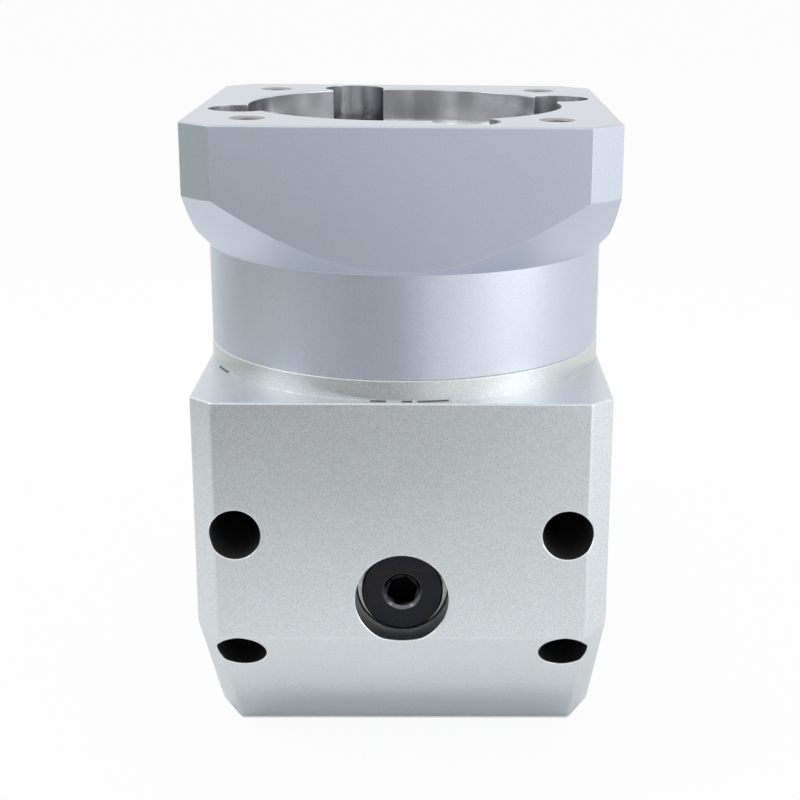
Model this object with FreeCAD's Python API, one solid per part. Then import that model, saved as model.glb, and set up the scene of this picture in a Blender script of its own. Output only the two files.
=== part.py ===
import FreeCAD, Part
import math
import os
from collections import namedtuple
from FreeCAD import Vector

# Right angle planetary gearbox, 50 to 1: a bevel pair (2 to 1) drives two planetary stages (5 to 1 each).
# Millimetres. The origin is the centre of the output flange's mounting face.
# +Y runs out along the output shaft and +Z up the motor axis to the motor flange.

Bearing = namedtuple("Bearing", "bore outside width")

# Outside of the housings
FLANGE_SQUARE = 90.0
FLANGE_CORNER_CUT = 6.9
NECK_STEP = 0.1
BLOCK_FRONT_STEP = 1.25
BLOCK_REAR_STEP = 1.5
BLOCK_BASE_STEP = 3.2
BLOCK_TOP = 43.8
BLOCK_CHAMFER = 4.75
SLOPE_RISE = 38.5
SLOPE_RUN = 37.5
ADAPTER_RING_HEIGHT = 4.6
ADAPTER_RECESS = 0.8
INPUT_HOUSING_HEIGHT = 52.2
INPUT_NECK_HEIGHT = 22.0
FLARE_ANGLE = 46.0
OUTPUT_FLANGE_THICKNESS = 12.0
EDGE_BREAK = 0.3

# Motor side: the pilot, the motor holes, and the clamp on the motor shaft
MOTOR_PILOT_DIA = 70.0
MOTOR_PILOT_DEPTH = 8.25
MOTOR_BOLT_CIRCLE = 90.0
MOTOR_HOLE_DIA = 6.8
MOTOR_HOLE_DEPTH = 15.0
MOTOR_HOLE_CHAMFER = 0.4
MOTOR_SHAFT_DIA = 19.0
CLAMP_HUB_DIA = 34.0
CLAMP_HUB_RECESS = 1.35
CLAMP_SLIT = 1.5
CLAMP_SLIT_START = 6.0
COLLAR_HEIGHT = 13.0
COLLAR_RECESS = 3.0
COLLAR_SLIT = 2.0
COLLAR_SCREW_WALL = 1.5
COLLAR_HEAD_WALL = 1.75
COLLAR_HEAD_GAP = 0.5
COLLAR_GAP = 2.5
CLAMP_SCREW_SEAT = 7.0
CLAMP_SCREW_LENGTH = 18.0
ACCESS_HOLE_DIA = 10.0
ACCESS_PLUG_LENGTH = 8.0
ACCESS_PLUG_HEX = 5.0

# Screw pockets in the motor flange, and the screws that hold the input housing on the block
POCKET_DIA = 14.2
POCKET_CIRCLE = 75.2
POCKET_ANGLE = 20.4
POCKET_DEPTH = 14.6
INPUT_SCREW_GRIP = 12.0
TAPPED_HOLE_SPARE = 2.0

# Long bolts that hold block, ring gear and output housing together, and the walls on both sides of them
RING_WALL = 3.4375
BOLT_WALL = 2.9
HOUSING_BOLT_ANGLE = 22.5
HOUSING_BOLT_SEAT = 18.0
HOUSING_BOLT_GRIP = 12.0
HEAD_GAP = 0.5

# Plug in the front face of the block
PLUG_RECESS = 4.3
PLUG_RECESS_GAP = 0.25
PLUG_COLLAR_DIA = 17.6
PLUG_COLLAR_HEIGHT = 3.0
PLUG_COLLAR_BREAK = 0.4
PLUG_THREAD_DIA = 12.0
PLUG_THREAD_LENGTH = 13.0
PLUG_HEX = 6.0
PLUG_HEX_DEPTH = 5.0
PLUG_HEX_TURN = -15.0
PLUG_COUNTERSINK_DIA = 8.4
PLUG_COUNTERSINK_DEPTH = 0.7
PLUG_WASHER_DIA = 19.6
PLUG_WASHER_HEIGHT = 1.5

# Rolling bearings and shaft seals
LOWER_INPUT_BEARING = Bearing(20.0, 47.0, 14.0)
UPPER_INPUT_BEARING = Bearing(35.0, 62.0, 14.0)
BEVEL_BEARING = Bearing(20.0, 37.0, 9.0)
OUTPUT_BEARING = Bearing(35.0, 62.0, 9.0)
RACE_SHARE = 0.28
SHIELD_THICKNESS = 0.8
SHIELD_RECESS = 0.4
SHIELD_GAP = 0.3
INPUT_SEAL_DIA = 32.0
INPUT_SEAL_HEIGHT = 3.3
OUTPUT_SEAL_DIA = 52.0
SEAL_CASE_WALL = 1.4
SEAL_WEB = 1.2
BEARING_LIP_HEIGHT = 1.7
BEARING_LIP_REACH = 3.0
SHOULDER_REACH = 2.5

# Bevel pair
BEVEL_MODULE = 1.75
PINION_TEETH = 15
BEVEL_GEAR_TEETH = 30
BEVEL_PRESSURE_ANGLE = 20.0
BEVEL_FACE_WIDTH = 8.5
BEVEL_ADDENDUM = 0.9
BEVEL_DEDENDUM = 1.2
PINION_NECK_DIA = 22.0
PINION_NECK_BLEND = 0.5
PINION_SHOULDER_HEIGHT = 1.8
PINION_SOCKET_DEPTH = 10.1
HUB_WEB = 2.0
GEAR_BORE_DIA = 16.0
GEAR_HUB_DIA = 26.0
GEAR_WEB_RECESS = 1.54
GEAR_RIM_DEPTH = 1.8
GEAR_HUB_LENGTH = 5.2
GEAR_WASHER_DIA = 22.0
GEAR_WASHER_HEIGHT = 2.0
GEAR_SCREW_LENGTH = 14.0
GEAR_KEY_WIDTH = 5.0
GEAR_KEY_RISE = 2.0

# Bearing sleeve of the bevel shaft, with its two retaining rings
SLEEVE_STEP = 1.0
SLEEVE_FLANGE_HOLD = 1.4375
SLEEVE_FLANGE_THICKNESS = 3.0
SLEEVE_LIP = 2.0
SLEEVE_LIP_REACH = 2.0
RETAINER_THICKNESS = 1.2
RETAINER_GROOVE = 0.9
RETAINER_WIDTH = 2.6
RETAINER_GAP = 6.0
GEAR_CAVITY_GAP = 1.05
PINION_FRONT_GAP = 1.5
PINION_BORE_GAP = 2.5

# Planetary stages: both use the same teeth and share the ring gear
PLANETARY_MODULE = 1.25
SUN_TEETH = 12
PLANET_TEETH = 18
RING_TEETH = 48
PLANETARY_PRESSURE_ANGLE = 25.0
PLANETARY_ADDENDUM = 0.9
PLANETARY_DEDENDUM = 1.25
PLANET_COUNT = 3
PLANET_PIN_DIA = 9.0
PLANET_BUSH_WALL = 1.96
PLANET_PLAY = 0.5
PLANET_POCKET_GAP = 0.6
CARRIER_GAP = 1.075
CARRIER_HOUSING_GAP = 3.4
SUN_BORE_GAP = 0.6
SUN_NECK_STEP = 0.0375
FIRST_PLANET_WIDTH = 12.0
SECOND_PLANET_WIDTH = 14.0
RING_END_GAP = 1.0
FIRST_FRONT_PLATE = 3.0
FIRST_REAR_PLATE = 7.0
STAGE_GAP = 2.0
END_GAP = 0.5
SECOND_FRONT_PLATE = 4.5
SECOND_REAR_PLATE = 9.0
PIN_RECESS = 0.2
TOOTH_THINNING = 0.05
FLANK_POINTS = 4

# Output end
OUTPUT_SHOULDER = 1.0
OUTPUT_LIP = 1.5
FACE_WALL = 1.0
OUTPUT_PILOT_DIA = 80.0
OUTPUT_PILOT_HEIGHT = 5.0
OUTPUT_BOLT_CIRCLE = 100.0
OUTPUT_HOLE_DIA = 6.6
OUTPUT_SHAFT_DIA = 22.0
OUTPUT_SHAFT_LENGTH = 40.0
OUTPUT_SHAFT_CHAMFER = 1.0
KEYWAY_WIDTH = 6.0
KEYWAY_DEPTH = 3.5
KEYWAY_LENGTH = 28.0
KEYWAY_MARGIN = 5.0
CENTRE_HOLE_DIA = 6.8
CENTRE_HOLE_DEPTH = 18.0
SHAFT_SEAM_ANGLE = 60.0

# Socket screws: nominal diameter, head diameter and height, and hex size
Screw = namedtuple("Screw", "dia head_dia head_height hex_size hex_depth clearance_dia")
M5 = Screw(5.0, 8.5, 5.0, 4.0, 2.5, 5.5)
M6 = Screw(6.0, 10.0, 6.0, 5.0, 3.0, 6.6)

# Radial clearances: still seats and threads, and turning fits
SEAT_CLEARANCE = 0.02
RUNNING_CLEARANCE = 0.04
SEAL_CLEARANCE = 0.05


class BevelGear:
    """Teeth of one gear of the bevel pair, about Z, with the common apex of both gears at height 0."""

    def __init__(self, teeth, mate_teeth):
        self.teeth = teeth
        self.cone = math.atan2(teeth, mate_teeth)
        self.heel = BEVEL_MODULE * math.hypot(teeth, mate_teeth) / 2
        self.toe = self.heel - BEVEL_FACE_WIDTH
        self.rise = BEVEL_ADDENDUM * BEVEL_MODULE
        self.drop = BEVEL_DEDENDUM * BEVEL_MODULE

    def corner(self, distance, above):
        """(radius, height) at a distance along the pitch cone and a height above it, square to the cone."""
        radius = distance * math.sin(self.cone) + above * math.cos(self.cone)
        height = distance * math.cos(self.cone) - above * math.sin(self.cone)
        return radius, height

    def toe_corner(self, above):
        return self.corner(self.toe, above * self.toe / self.heel)

    def heel_corner(self, above):
        return self.corner(self.heel, above)

    def toothed_cone(self, first_angle, low, high):
        """Cone of teeth that run to the apex, between two heights."""
        root_angle = self.cone - math.atan(self.drop / self.heel)
        tip_angle = self.cone + math.atan(self.rise / self.heel)
        thinning_angle = TOOTH_THINNING / (self.heel * math.sin(self.cone))
        flank = spherical_flank(self.teeth, self.cone, root_angle, tip_angle, thinning_angle)
        wires = []
        for height in (low, high):
            flat_flank = [(height * math.tan(angle), half) for angle, half in flank]
            root = height * math.tan(root_angle)
            wires.append(toothed_wire(self.teeth, root, flat_flank, first_angle, height))
        return Part.makeLoft(wires, True, True)


PINION = BevelGear(PINION_TEETH, BEVEL_GEAR_TEETH)
GEAR = BevelGear(BEVEL_GEAR_TEETH, PINION_TEETH)

# Room for the bevel pair in the block, from the teeth out
PINION_TIP_RADIUS = PINION.heel_corner(PINION.rise)[0]
GEAR_TIP_RADIUS = GEAR.heel_corner(GEAR.rise)[0]
GEAR_WEB_FRONT = GEAR.toe_corner(-GEAR.drop)[1] + GEAR_WEB_RECESS
GEAR_RIM_BACK = GEAR.heel_corner(-GEAR.drop)[1] + GEAR_RIM_DEPTH
GEAR_HUB_BACK = GEAR_RIM_BACK + GEAR_HUB_LENGTH
CAVITY_RADIUS = GEAR_TIP_RADIUS + GEAR_CAVITY_GAP
CAVITY_FRONT = PINION_TIP_RADIUS + PINION_FRONT_GAP
PINION_CAVITY_RADIUS = PINION_TIP_RADIUS + PINION_BORE_GAP
SLEEVE_RADIUS = CAVITY_RADIUS + SLEEVE_STEP

# Planetary teeth, and the width of the body from the ring gear out through the long bolts
SUN_PITCH_RADIUS = PLANETARY_MODULE * SUN_TEETH / 2
SUN_TIP_RADIUS = SUN_PITCH_RADIUS + PLANETARY_ADDENDUM * PLANETARY_MODULE
SUN_NECK_RADIUS = SUN_PITCH_RADIUS - PLANETARY_DEDENDUM * PLANETARY_MODULE - SUN_NECK_STEP
PLANET_PITCH_RADIUS = PLANETARY_MODULE * PLANET_TEETH / 2
PLANET_ORBIT = SUN_PITCH_RADIUS + PLANET_PITCH_RADIUS
PLANET_TIP_RADIUS = PLANET_PITCH_RADIUS + PLANETARY_ADDENDUM * PLANETARY_MODULE
PLANET_BORE_RADIUS = PLANET_PIN_DIA / 2 + RUNNING_CLEARANCE + PLANET_BUSH_WALL
RING_PITCH_RADIUS = PLANETARY_MODULE * RING_TEETH / 2
RING_TIP_RADIUS = RING_PITCH_RADIUS - PLANETARY_ADDENDUM * PLANETARY_MODULE
RING_ROOT_RADIUS = RING_PITCH_RADIUS + PLANETARY_DEDENDUM * PLANETARY_MODULE
CARRIER_RADIUS = RING_TIP_RADIUS - CARRIER_GAP
SLEEVE_FLANGE_RADIUS = RING_ROOT_RADIUS + SLEEVE_FLANGE_HOLD
FIRST_PLANET_ANGLE = 270.0
PLANET_ANGLES = [FIRST_PLANET_ANGLE + n * 360.0 / PLANET_COUNT for n in range(PLANET_COUNT)]
HOUSING_BOLT_RADIUS = RING_ROOT_RADIUS + RING_WALL + M6.clearance_dia / 2
BODY_DIA = 2 * (HOUSING_BOLT_RADIUS + M6.clearance_dia / 2 + BOLT_WALL)
NECK_DIA = BODY_DIA - 2 * NECK_STEP
BLOCK_WIDTH = BODY_DIA
BLOCK_FRONT = BODY_DIA / 2 + BLOCK_FRONT_STEP
BLOCK_REAR = BODY_DIA / 2 + BLOCK_REAR_STEP
BLOCK_BASE = BODY_DIA / 2 + BLOCK_BASE_STEP

# Clamp on the motor shaft, from the hub out
CLAMP_SCREW_OFFSET = CLAMP_HUB_DIA / 2 + COLLAR_SCREW_WALL + M5.dia / 2
COLLAR_RADIUS = CLAMP_SCREW_OFFSET + M5.head_dia / 2 + COLLAR_HEAD_WALL
CLAMP_CAVITY_RADIUS = COLLAR_RADIUS + COLLAR_GAP

# Places along the output axis, added up from the pieces that stand behind each other
GEAR_TRAIN_LENGTH = (
    RING_END_GAP + FIRST_FRONT_PLATE + FIRST_PLANET_WIDTH + FIRST_REAR_PLATE
    + STAGE_GAP + SECOND_FRONT_PLATE + SECOND_PLANET_WIDTH + SECOND_REAR_PLATE + 4 * PLANET_PLAY
    + OUTPUT_SHOULDER + 2 * OUTPUT_BEARING.width + OUTPUT_LIP + FACE_WALL
)
RING_Y = -GEAR_TRAIN_LENGTH
MOTOR_Y = RING_Y - BLOCK_REAR
FIRST_FRONT_Y = RING_Y + RING_END_GAP
FIRST_POCKET_Y = FIRST_FRONT_Y + FIRST_FRONT_PLATE
FIRST_POCKET_END_Y = FIRST_POCKET_Y + FIRST_PLANET_WIDTH + 2 * PLANET_PLAY
FIRST_REAR_Y = FIRST_POCKET_END_Y + FIRST_REAR_PLATE
SECOND_FRONT_Y = FIRST_REAR_Y + STAGE_GAP
SECOND_POCKET_Y = SECOND_FRONT_Y + SECOND_FRONT_PLATE
SECOND_POCKET_END_Y = SECOND_POCKET_Y + SECOND_PLANET_WIDTH + 2 * PLANET_PLAY
SECOND_REAR_Y = SECOND_POCKET_END_Y + SECOND_REAR_PLATE
HOUSING_Y = SECOND_POCKET_END_Y + END_GAP
OUTPUT_BEARING_Y = SECOND_REAR_Y + OUTPUT_SHOULDER
OUTPUT_LIP_Y = OUTPUT_BEARING_Y + 2 * OUTPUT_BEARING.width
OUTPUT_SEAL_Y = OUTPUT_LIP_Y + OUTPUT_LIP
SHAFT_SHOULDER_Y = OUTPUT_PILOT_HEIGHT + END_GAP
SLEEVE_Y = MOTOR_Y + GEAR_HUB_BACK
BEVEL_BEARING_Y = SLEEVE_Y + SLEEVE_LIP
RETAINER_Y = BEVEL_BEARING_Y + 2 * BEVEL_BEARING.width

# Heights on the motor axis
LOWER_SEAT_Z = BLOCK_TOP - LOWER_INPUT_BEARING.width
HOUSING_Z = BLOCK_TOP + ADAPTER_RING_HEIGHT
UPPER_LIP_Z = HOUSING_Z + UPPER_INPUT_BEARING.width
CAVITY_Z = UPPER_LIP_Z + BEARING_LIP_HEIGHT
FLANGE_Z = HOUSING_Z + INPUT_HOUSING_HEIGHT
PILOT_FLOOR_Z = FLANGE_Z - MOTOR_PILOT_DEPTH
POCKET_FLOOR_Z = FLANGE_Z - POCKET_DEPTH
HUB_TOP_Z = PILOT_FLOOR_Z - CLAMP_HUB_RECESS
COLLAR_TOP_Z = HUB_TOP_Z - COLLAR_RECESS
CLAMP_SCREW_Z = COLLAR_TOP_Z - COLLAR_HEIGHT / 2


def save(name, *solids):
    """Write one piece, or one group of like pieces."""
    shape = solids[0] if len(solids) == 1 else Part.makeCompound(list(solids))
    shape.exportStep("parts/%s.step" % name)


def turned(corners):
    """Solid turned about Z from its (radius, height) corners."""
    points = [Vector(radius, 0, height) for radius, height in corners]
    face = Part.Face(Part.makePolygon(points + points[:1]))
    return face.revolve(Vector(0, 0, 0), Vector(0, 0, 1), 360)


def tube(inner, outer, low, high):
    """Plain ring about Z between two radii and two heights."""
    return turned([(inner, low), (outer, low), (outer, high), (inner, high)])


def rod(radius, low, high, x=0.0, y=0.0):
    """Round bar along Z."""
    return Part.makeCylinder(radius, high - low, Vector(x, y, low))


def on_output_axis(shape):
    """Turn a piece made about Z so that it lies on the output axis, with its heights along Y."""
    return shape.rotated(Vector(0, 0, 0), Vector(1, 0, 0), -90)


def on_motor_axis(shape):
    return shape.translated(Vector(0, MOTOR_Y, 0))


def polar(radius, degrees):
    """Point of a hole circle in the plane of a piece made about Z."""
    angle = math.radians(degrees)
    return radius * math.cos(angle), radius * math.sin(angle)


def four_around(circle, first_angle):
    return [polar(circle / 2, first_angle + 90.0 * n) for n in range(4)]


def housing_bolt_places():
    angles = [side + sign * HOUSING_BOLT_ANGLE for side in (0.0, 180.0) for sign in (1, -1)]
    return [polar(HOUSING_BOLT_RADIUS, angle) for angle in angles]


def hexagon(across_flats, low, high, turn=0.0):
    """Hexagonal bar along Z, for sockets."""
    corner_radius = across_flats / math.sqrt(3)
    corners = [Vector(*polar(corner_radius, turn + 60.0 * n), low) for n in range(7)]
    return Part.Face(Part.makePolygon(corners)).extrude(Vector(0, 0, high - low))


def socket_screw(kind, length):
    """Socket head screw along Z, with the seat of its head at height 0 and its shank below."""
    head = rod(kind.head_dia / 2, 0, kind.head_height)
    head = head.makeChamfer(EDGE_BREAK, [head.Edges[0]])
    shank = rod(kind.dia / 2, -length, 0)
    socket = hexagon(kind.hex_size, kind.head_height - kind.hex_depth, kind.head_height)
    return head.fuse(shank).removeSplitter().cut(socket)


def flange_prism(low, high):
    """Square flange along Z with its four corners cut off."""
    half = FLANGE_SQUARE / 2
    inner = half - FLANGE_CORNER_CUT
    quarter = [(half, -inner), (half, inner)]
    corners = []
    for turn in range(4):
        for x, y in quarter:
            angle = math.radians(90.0 * turn)
            across = x * math.cos(angle) - y * math.sin(angle)
            along = x * math.sin(angle) + y * math.cos(angle)
            corners.append(Vector(across, along, low))
    return Part.Face(Part.makePolygon(corners + corners[:1])).extrude(Vector(0, 0, high - low))


# Gear teeth

def involute_flank(teeth, module, pressure_angle, root, tip, thinning):
    """(radius, half tooth angle) pairs of a spur tooth, from the foot of the involute to the tip."""
    pitch = module * teeth / 2
    slope = math.radians(pressure_angle)
    base = pitch * math.cos(slope)
    half_pitch = math.pi / (2 * teeth) - thinning / pitch
    first = math.sqrt(max(root / base, 1.0) ** 2 - 1)
    last = math.sqrt((tip / base) ** 2 - 1)
    flank = []
    for n in range(FLANK_POINTS):
        roll = first + (last - first) * n / (FLANK_POINTS - 1)
        half = half_pitch + math.tan(slope) - slope - roll + math.atan(roll)
        flank.append((base * math.hypot(1, roll), half))
    return flank


def spherical_flank(teeth, cone_angle, root_angle, tip_angle, thinning_angle):
    """(angle from the axis, half tooth angle) pairs of a straight bevel tooth, a spherical involute."""
    base_angle = math.asin(math.sin(cone_angle) * math.cos(math.radians(BEVEL_PRESSURE_ANGLE)))

    def arc(angle):
        return math.acos(min(1.0, math.cos(angle) / math.cos(base_angle)))

    def involute(along):
        return along / math.sin(base_angle) - math.atan(math.tan(along) / math.sin(base_angle))

    half_pitch = math.pi / (2 * teeth) - thinning_angle + involute(arc(cone_angle))
    first = arc(max(root_angle, base_angle))
    last = arc(tip_angle)
    flank = []
    for n in range(FLANK_POINTS):
        along = first + (last - first) * n / (FLANK_POINTS - 1)
        angle = math.acos(math.cos(base_angle) * math.cos(along))
        flank.append((angle, half_pitch - involute(along)))
    return flank


def toothed_wire(teeth, root, flank, first_angle, height):
    """Closed outline of a gear in a plane across its axis, with one tooth at first_angle degrees."""
    pitch_step = 2 * math.pi / teeth

    def at(radius, angle):
        return Vector(radius * math.cos(angle), radius * math.sin(angle), height)

    def curve(points):
        spline = Part.BSplineCurve()
        spline.interpolate(points)
        return spline.toShape()

    foot_half = flank[0][1]
    edges = []
    for n in range(teeth):
        middle = math.radians(first_angle) + n * pitch_step
        rising = [at(radius, middle - half) for radius, half in flank]
        falling = [at(radius, middle + half) for radius, half in reversed(flank)]
        rising_foot = at(root, middle - foot_half)
        falling_foot = at(root, middle + foot_half)
        next_foot = at(root, middle + pitch_step - foot_half)
        has_straight_foot = flank[0][0] > root + 1e-6
        if has_straight_foot:
            edges.append(Part.makeLine(rising_foot, rising[0]))
        edges.append(curve(rising))
        edges.append(Part.Arc(rising[-1], at(flank[-1][0], middle), falling[0]).toShape())
        edges.append(curve(falling))
        if has_straight_foot:
            edges.append(Part.makeLine(falling[-1], falling_foot))
        edges.append(Part.Arc(falling_foot, at(root, middle + pitch_step / 2), next_foot).toShape())
    return Part.Wire(edges)


def planetary_teeth(teeth, first_angle, low, high):
    """Toothed bar along Z for a sun or a planet."""
    pitch = PLANETARY_MODULE * teeth / 2
    root = pitch - PLANETARY_DEDENDUM * PLANETARY_MODULE
    tip = pitch + PLANETARY_ADDENDUM * PLANETARY_MODULE
    flank = involute_flank(
        teeth, PLANETARY_MODULE, PLANETARY_PRESSURE_ANGLE, root, tip, TOOTH_THINNING)
    outline = toothed_wire(teeth, root, flank, first_angle, low)
    return Part.Face(outline).extrude(Vector(0, 0, high - low))


def ring_gear_hole(first_angle, low, high):
    """Toothed bar that leaves the ring gear's inner teeth when it is cut out."""
    flank = involute_flank(RING_TEETH, PLANETARY_MODULE, PLANETARY_PRESSURE_ANGLE,
                           RING_TIP_RADIUS, RING_ROOT_RADIUS, -TOOTH_THINNING)
    outline = toothed_wire(RING_TEETH, RING_TIP_RADIUS, flank, first_angle, low)
    return Part.Face(outline).extrude(Vector(0, 0, high - low))


# Bearings and seals, about Z with their lower face at height low

def race_thickness(bearing):
    return RACE_SHARE * (bearing.outside - bearing.bore) / 2


def inner_race(bearing, low):
    inner = bearing.bore / 2 + SEAT_CLEARANCE
    outer = bearing.bore / 2 + race_thickness(bearing)
    return tube(inner, outer, low, low + bearing.width)


def outer_race(bearing, low):
    """Outer race with its two shields, which reach in to the inner race."""
    outside = bearing.outside / 2 - SEAT_CLEARANCE
    raceway = bearing.outside / 2 - race_thickness(bearing)
    shield = bearing.bore / 2 + race_thickness(bearing) + SHIELD_GAP
    high = low + bearing.width
    sealed = SHIELD_RECESS + SHIELD_THICKNESS
    lower_shield = [
        (raceway, low + sealed), (shield, low + sealed),
        (shield, low + SHIELD_RECESS), (raceway, low + SHIELD_RECESS), (raceway, low),
    ]
    upper_shield = [
        (raceway, high), (raceway, high - SHIELD_RECESS), (shield, high - SHIELD_RECESS),
        (shield, high - sealed), (raceway, high - sealed),
    ]
    return turned([(outside, low), (outside, high)] + upper_shield + lower_shield)


def shaft_seal(shaft_dia, outside_dia, low, high):
    """Lip seal: a case pressed into the housing, a web, and a lip that leans on the shaft."""
    outside = outside_dia / 2 - SEAT_CLEARANCE
    lip = shaft_dia / 2 + SEAL_CLEARANCE
    inside = outside - SEAL_CASE_WALL
    middle = high - SEAL_WEB
    return turned([
        (outside, low), (outside, high), (lip + SEAL_WEB, high), (lip + SEAL_WEB, middle),
        (lip, low + SEAL_WEB), (lip, low + SEAL_WEB / 2), (lip + 2 * SEAL_WEB, middle),
        (inside, middle), (inside, low),
    ])


def retaining_ring(inner, outer, low, gap_side):
    """Open spring ring about Z, with its gap on the +X or -X side."""
    ring = tube(inner, outer, low, low + RETAINER_THICKNESS)
    gap = Part.makeBox(outer, RETAINER_GAP, RETAINER_THICKNESS)
    start = 0.0 if gap_side > 0 else -outer
    return ring.cut(gap.translated(Vector(start, -RETAINER_GAP / 2, low)))


# Housings

def cut_front_bolt_holes(block):
    """Deep holes for the long bolts: wide for the heads, narrow behind the seat."""
    tools = []
    for x, z in housing_bolt_places():
        seat = MOTOR_Y + HOUSING_BOLT_SEAT
        front = MOTOR_Y - BLOCK_FRONT - EDGE_BREAK
        tools.append(rod(M6.head_dia / 2 + HEAD_GAP, front, seat, x, -z))
        tools.append(rod(M6.clearance_dia / 2, seat, RING_Y + EDGE_BREAK, x, -z))
    return block.cut([on_output_axis(tool) for tool in tools])


def block_body():
    """Outside of the block: its side profile across the width, with chamfered side edges."""
    half = BLOCK_WIDTH / 2
    front = MOTOR_Y - BLOCK_FRONT
    profile = [
        (RING_Y, -BLOCK_BASE), (RING_Y, BLOCK_TOP), (front, BLOCK_TOP),
        (front, SLOPE_RISE - BLOCK_BASE), (front + SLOPE_RUN, -BLOCK_BASE),
    ]
    points = [Vector(-half, y, z) for y, z in profile]
    body = Part.Face(Part.makePolygon(points + points[:1])).extrude(Vector(BLOCK_WIDTH, 0, 0))

    def on_side(edge):
        across = [vertex.X for vertex in edge.Vertexes]
        return abs(across[0] - across[1]) < 1e-6

    def on_top(edge):
        return all(abs(vertex.Z - BLOCK_TOP) < 1e-6 for vertex in edge.Vertexes)

    side_edges = [edge for edge in body.Edges if on_side(edge) and not on_top(edge)]
    return body.makeChamfer(BLOCK_CHAMFER, side_edges)


def right_angle_block():
    block = block_body()
    block = block.makeChamfer(EDGE_BREAK, block.Edges)
    cavity = on_output_axis(turned([
        (0, MOTOR_Y - CAVITY_FRONT), (CAVITY_RADIUS, MOTOR_Y - CAVITY_FRONT),
        (CAVITY_RADIUS, SLEEVE_Y), (SLEEVE_RADIUS, SLEEVE_Y),
        (SLEEVE_RADIUS, RING_Y - SLEEVE_FLANGE_THICKNESS),
        (SLEEVE_FLANGE_RADIUS, RING_Y - SLEEVE_FLANGE_THICKNESS),
        (SLEEVE_FLANGE_RADIUS, RING_Y + EDGE_BREAK), (0, RING_Y + EDGE_BREAK),
    ]))
    pinion_bore = on_motor_axis(turned([
        (0, 0), (PINION_CAVITY_RADIUS, 0), (PINION_CAVITY_RADIUS, LOWER_SEAT_Z),
        (LOWER_INPUT_BEARING.outside / 2, LOWER_SEAT_Z),
        (LOWER_INPUT_BEARING.outside / 2, BLOCK_TOP + EDGE_BREAK), (0, BLOCK_TOP + EDGE_BREAK),
    ]))
    front = MOTOR_Y - BLOCK_FRONT
    seat = front + PLUG_RECESS + PLUG_COLLAR_HEIGHT + PLUG_WASHER_HEIGHT
    plug_recess = on_output_axis(rod(PLUG_WASHER_DIA / 2 + PLUG_RECESS_GAP, front - EDGE_BREAK, seat))
    plug_hole = on_output_axis(rod(PLUG_THREAD_DIA / 2 + SEAT_CLEARANCE, seat, MOTOR_Y - CAVITY_FRONT))
    block = block.cut([cavity.fuse(pinion_bore), plug_recess, plug_hole])
    depth = INPUT_SCREW_GRIP + TAPPED_HOLE_SPARE
    tapped = []
    for x, y in four_around(POCKET_CIRCLE, POCKET_ANGLE):
        radius = M6.dia / 2 + SEAT_CLEARANCE
        tapped.append(rod(radius, BLOCK_TOP - depth, BLOCK_TOP + EDGE_BREAK, x, y + MOTOR_Y))
    return cut_front_bolt_holes(block.cut(tapped))


def adapter_ring():
    outside = BODY_DIA / 2
    floor = HOUSING_Z - ADAPTER_RECESS
    recess = UPPER_INPUT_BEARING.outside / 2 - race_thickness(UPPER_INPUT_BEARING) - SHIELD_GAP
    ring = turned([
        (INPUT_SEAL_DIA / 2, BLOCK_TOP), (outside, BLOCK_TOP), (outside, HOUSING_Z - EDGE_BREAK),
        (outside - EDGE_BREAK, HOUSING_Z), (recess, HOUSING_Z), (recess, floor),
        (INPUT_SEAL_DIA / 2, floor),
    ])
    places = four_around(POCKET_CIRCLE, POCKET_ANGLE)
    holes = [rod(M6.clearance_dia / 2, BLOCK_TOP, HOUSING_Z, x, y) for x, y in places]
    return on_motor_axis(ring.cut(holes))


def input_housing():
    """Turned neck that flares into the square motor flange, with the clamp cavity inside."""
    neck = NECK_DIA / 2
    flare_start = HOUSING_Z + INPUT_NECK_HEIGHT
    rise = math.tan(math.radians(FLARE_ANGLE))
    blank = turned([
        (0, HOUSING_Z), (neck, HOUSING_Z), (neck, flare_start),
        (neck + (FLANGE_Z - flare_start) / rise, FLANGE_Z), (0, FLANGE_Z),
    ])
    square = flange_prism(HOUSING_Z, FLANGE_Z)
    top_edges = [e for e in square.Edges if all(abs(v.Z - FLANGE_Z) < 1e-6 for v in e.Vertexes)]
    outside = blank.common(square.makeChamfer(EDGE_BREAK, top_edges))
    bearing_seat = UPPER_INPUT_BEARING.outside / 2
    lip = bearing_seat - BEARING_LIP_REACH
    pilot = MOTOR_PILOT_DIA / 2
    inside = turned([
        (0, HOUSING_Z), (bearing_seat, HOUSING_Z), (bearing_seat, UPPER_LIP_Z), (lip, UPPER_LIP_Z),
        (lip, CAVITY_Z), (CLAMP_CAVITY_RADIUS, CAVITY_Z), (CLAMP_CAVITY_RADIUS, PILOT_FLOOR_Z),
        (pilot, PILOT_FLOOR_Z), (pilot, FLANGE_Z - EDGE_BREAK), (pilot + EDGE_BREAK, FLANGE_Z),
        (0, FLANGE_Z),
    ])
    tools = [inside]
    for x, y in four_around(POCKET_CIRCLE, POCKET_ANGLE):
        tools.append(rod(POCKET_DIA / 2, POCKET_FLOOR_Z, FLANGE_Z, x, y))
        tools.append(rod(M6.clearance_dia / 2, HOUSING_Z, POCKET_FLOOR_Z, x, y))
    hole = MOTOR_HOLE_DIA / 2
    motor_hole = turned([
        (0, FLANGE_Z - MOTOR_HOLE_DEPTH), (hole, FLANGE_Z - MOTOR_HOLE_DEPTH),
        (hole, FLANGE_Z - MOTOR_HOLE_CHAMFER), (hole + MOTOR_HOLE_CHAMFER, FLANGE_Z), (0, FLANGE_Z),
    ])
    for x, y in four_around(MOTOR_BOLT_CIRCLE, 45.0):
        tools.append(motor_hole.translated(Vector(x, y, 0)))
    tools.append(along_x(rod(ACCESS_HOLE_DIA / 2, CLAMP_SCREW_SEAT, FLANGE_SQUARE / 2)))
    return on_motor_axis(outside.cut(tools))


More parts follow.
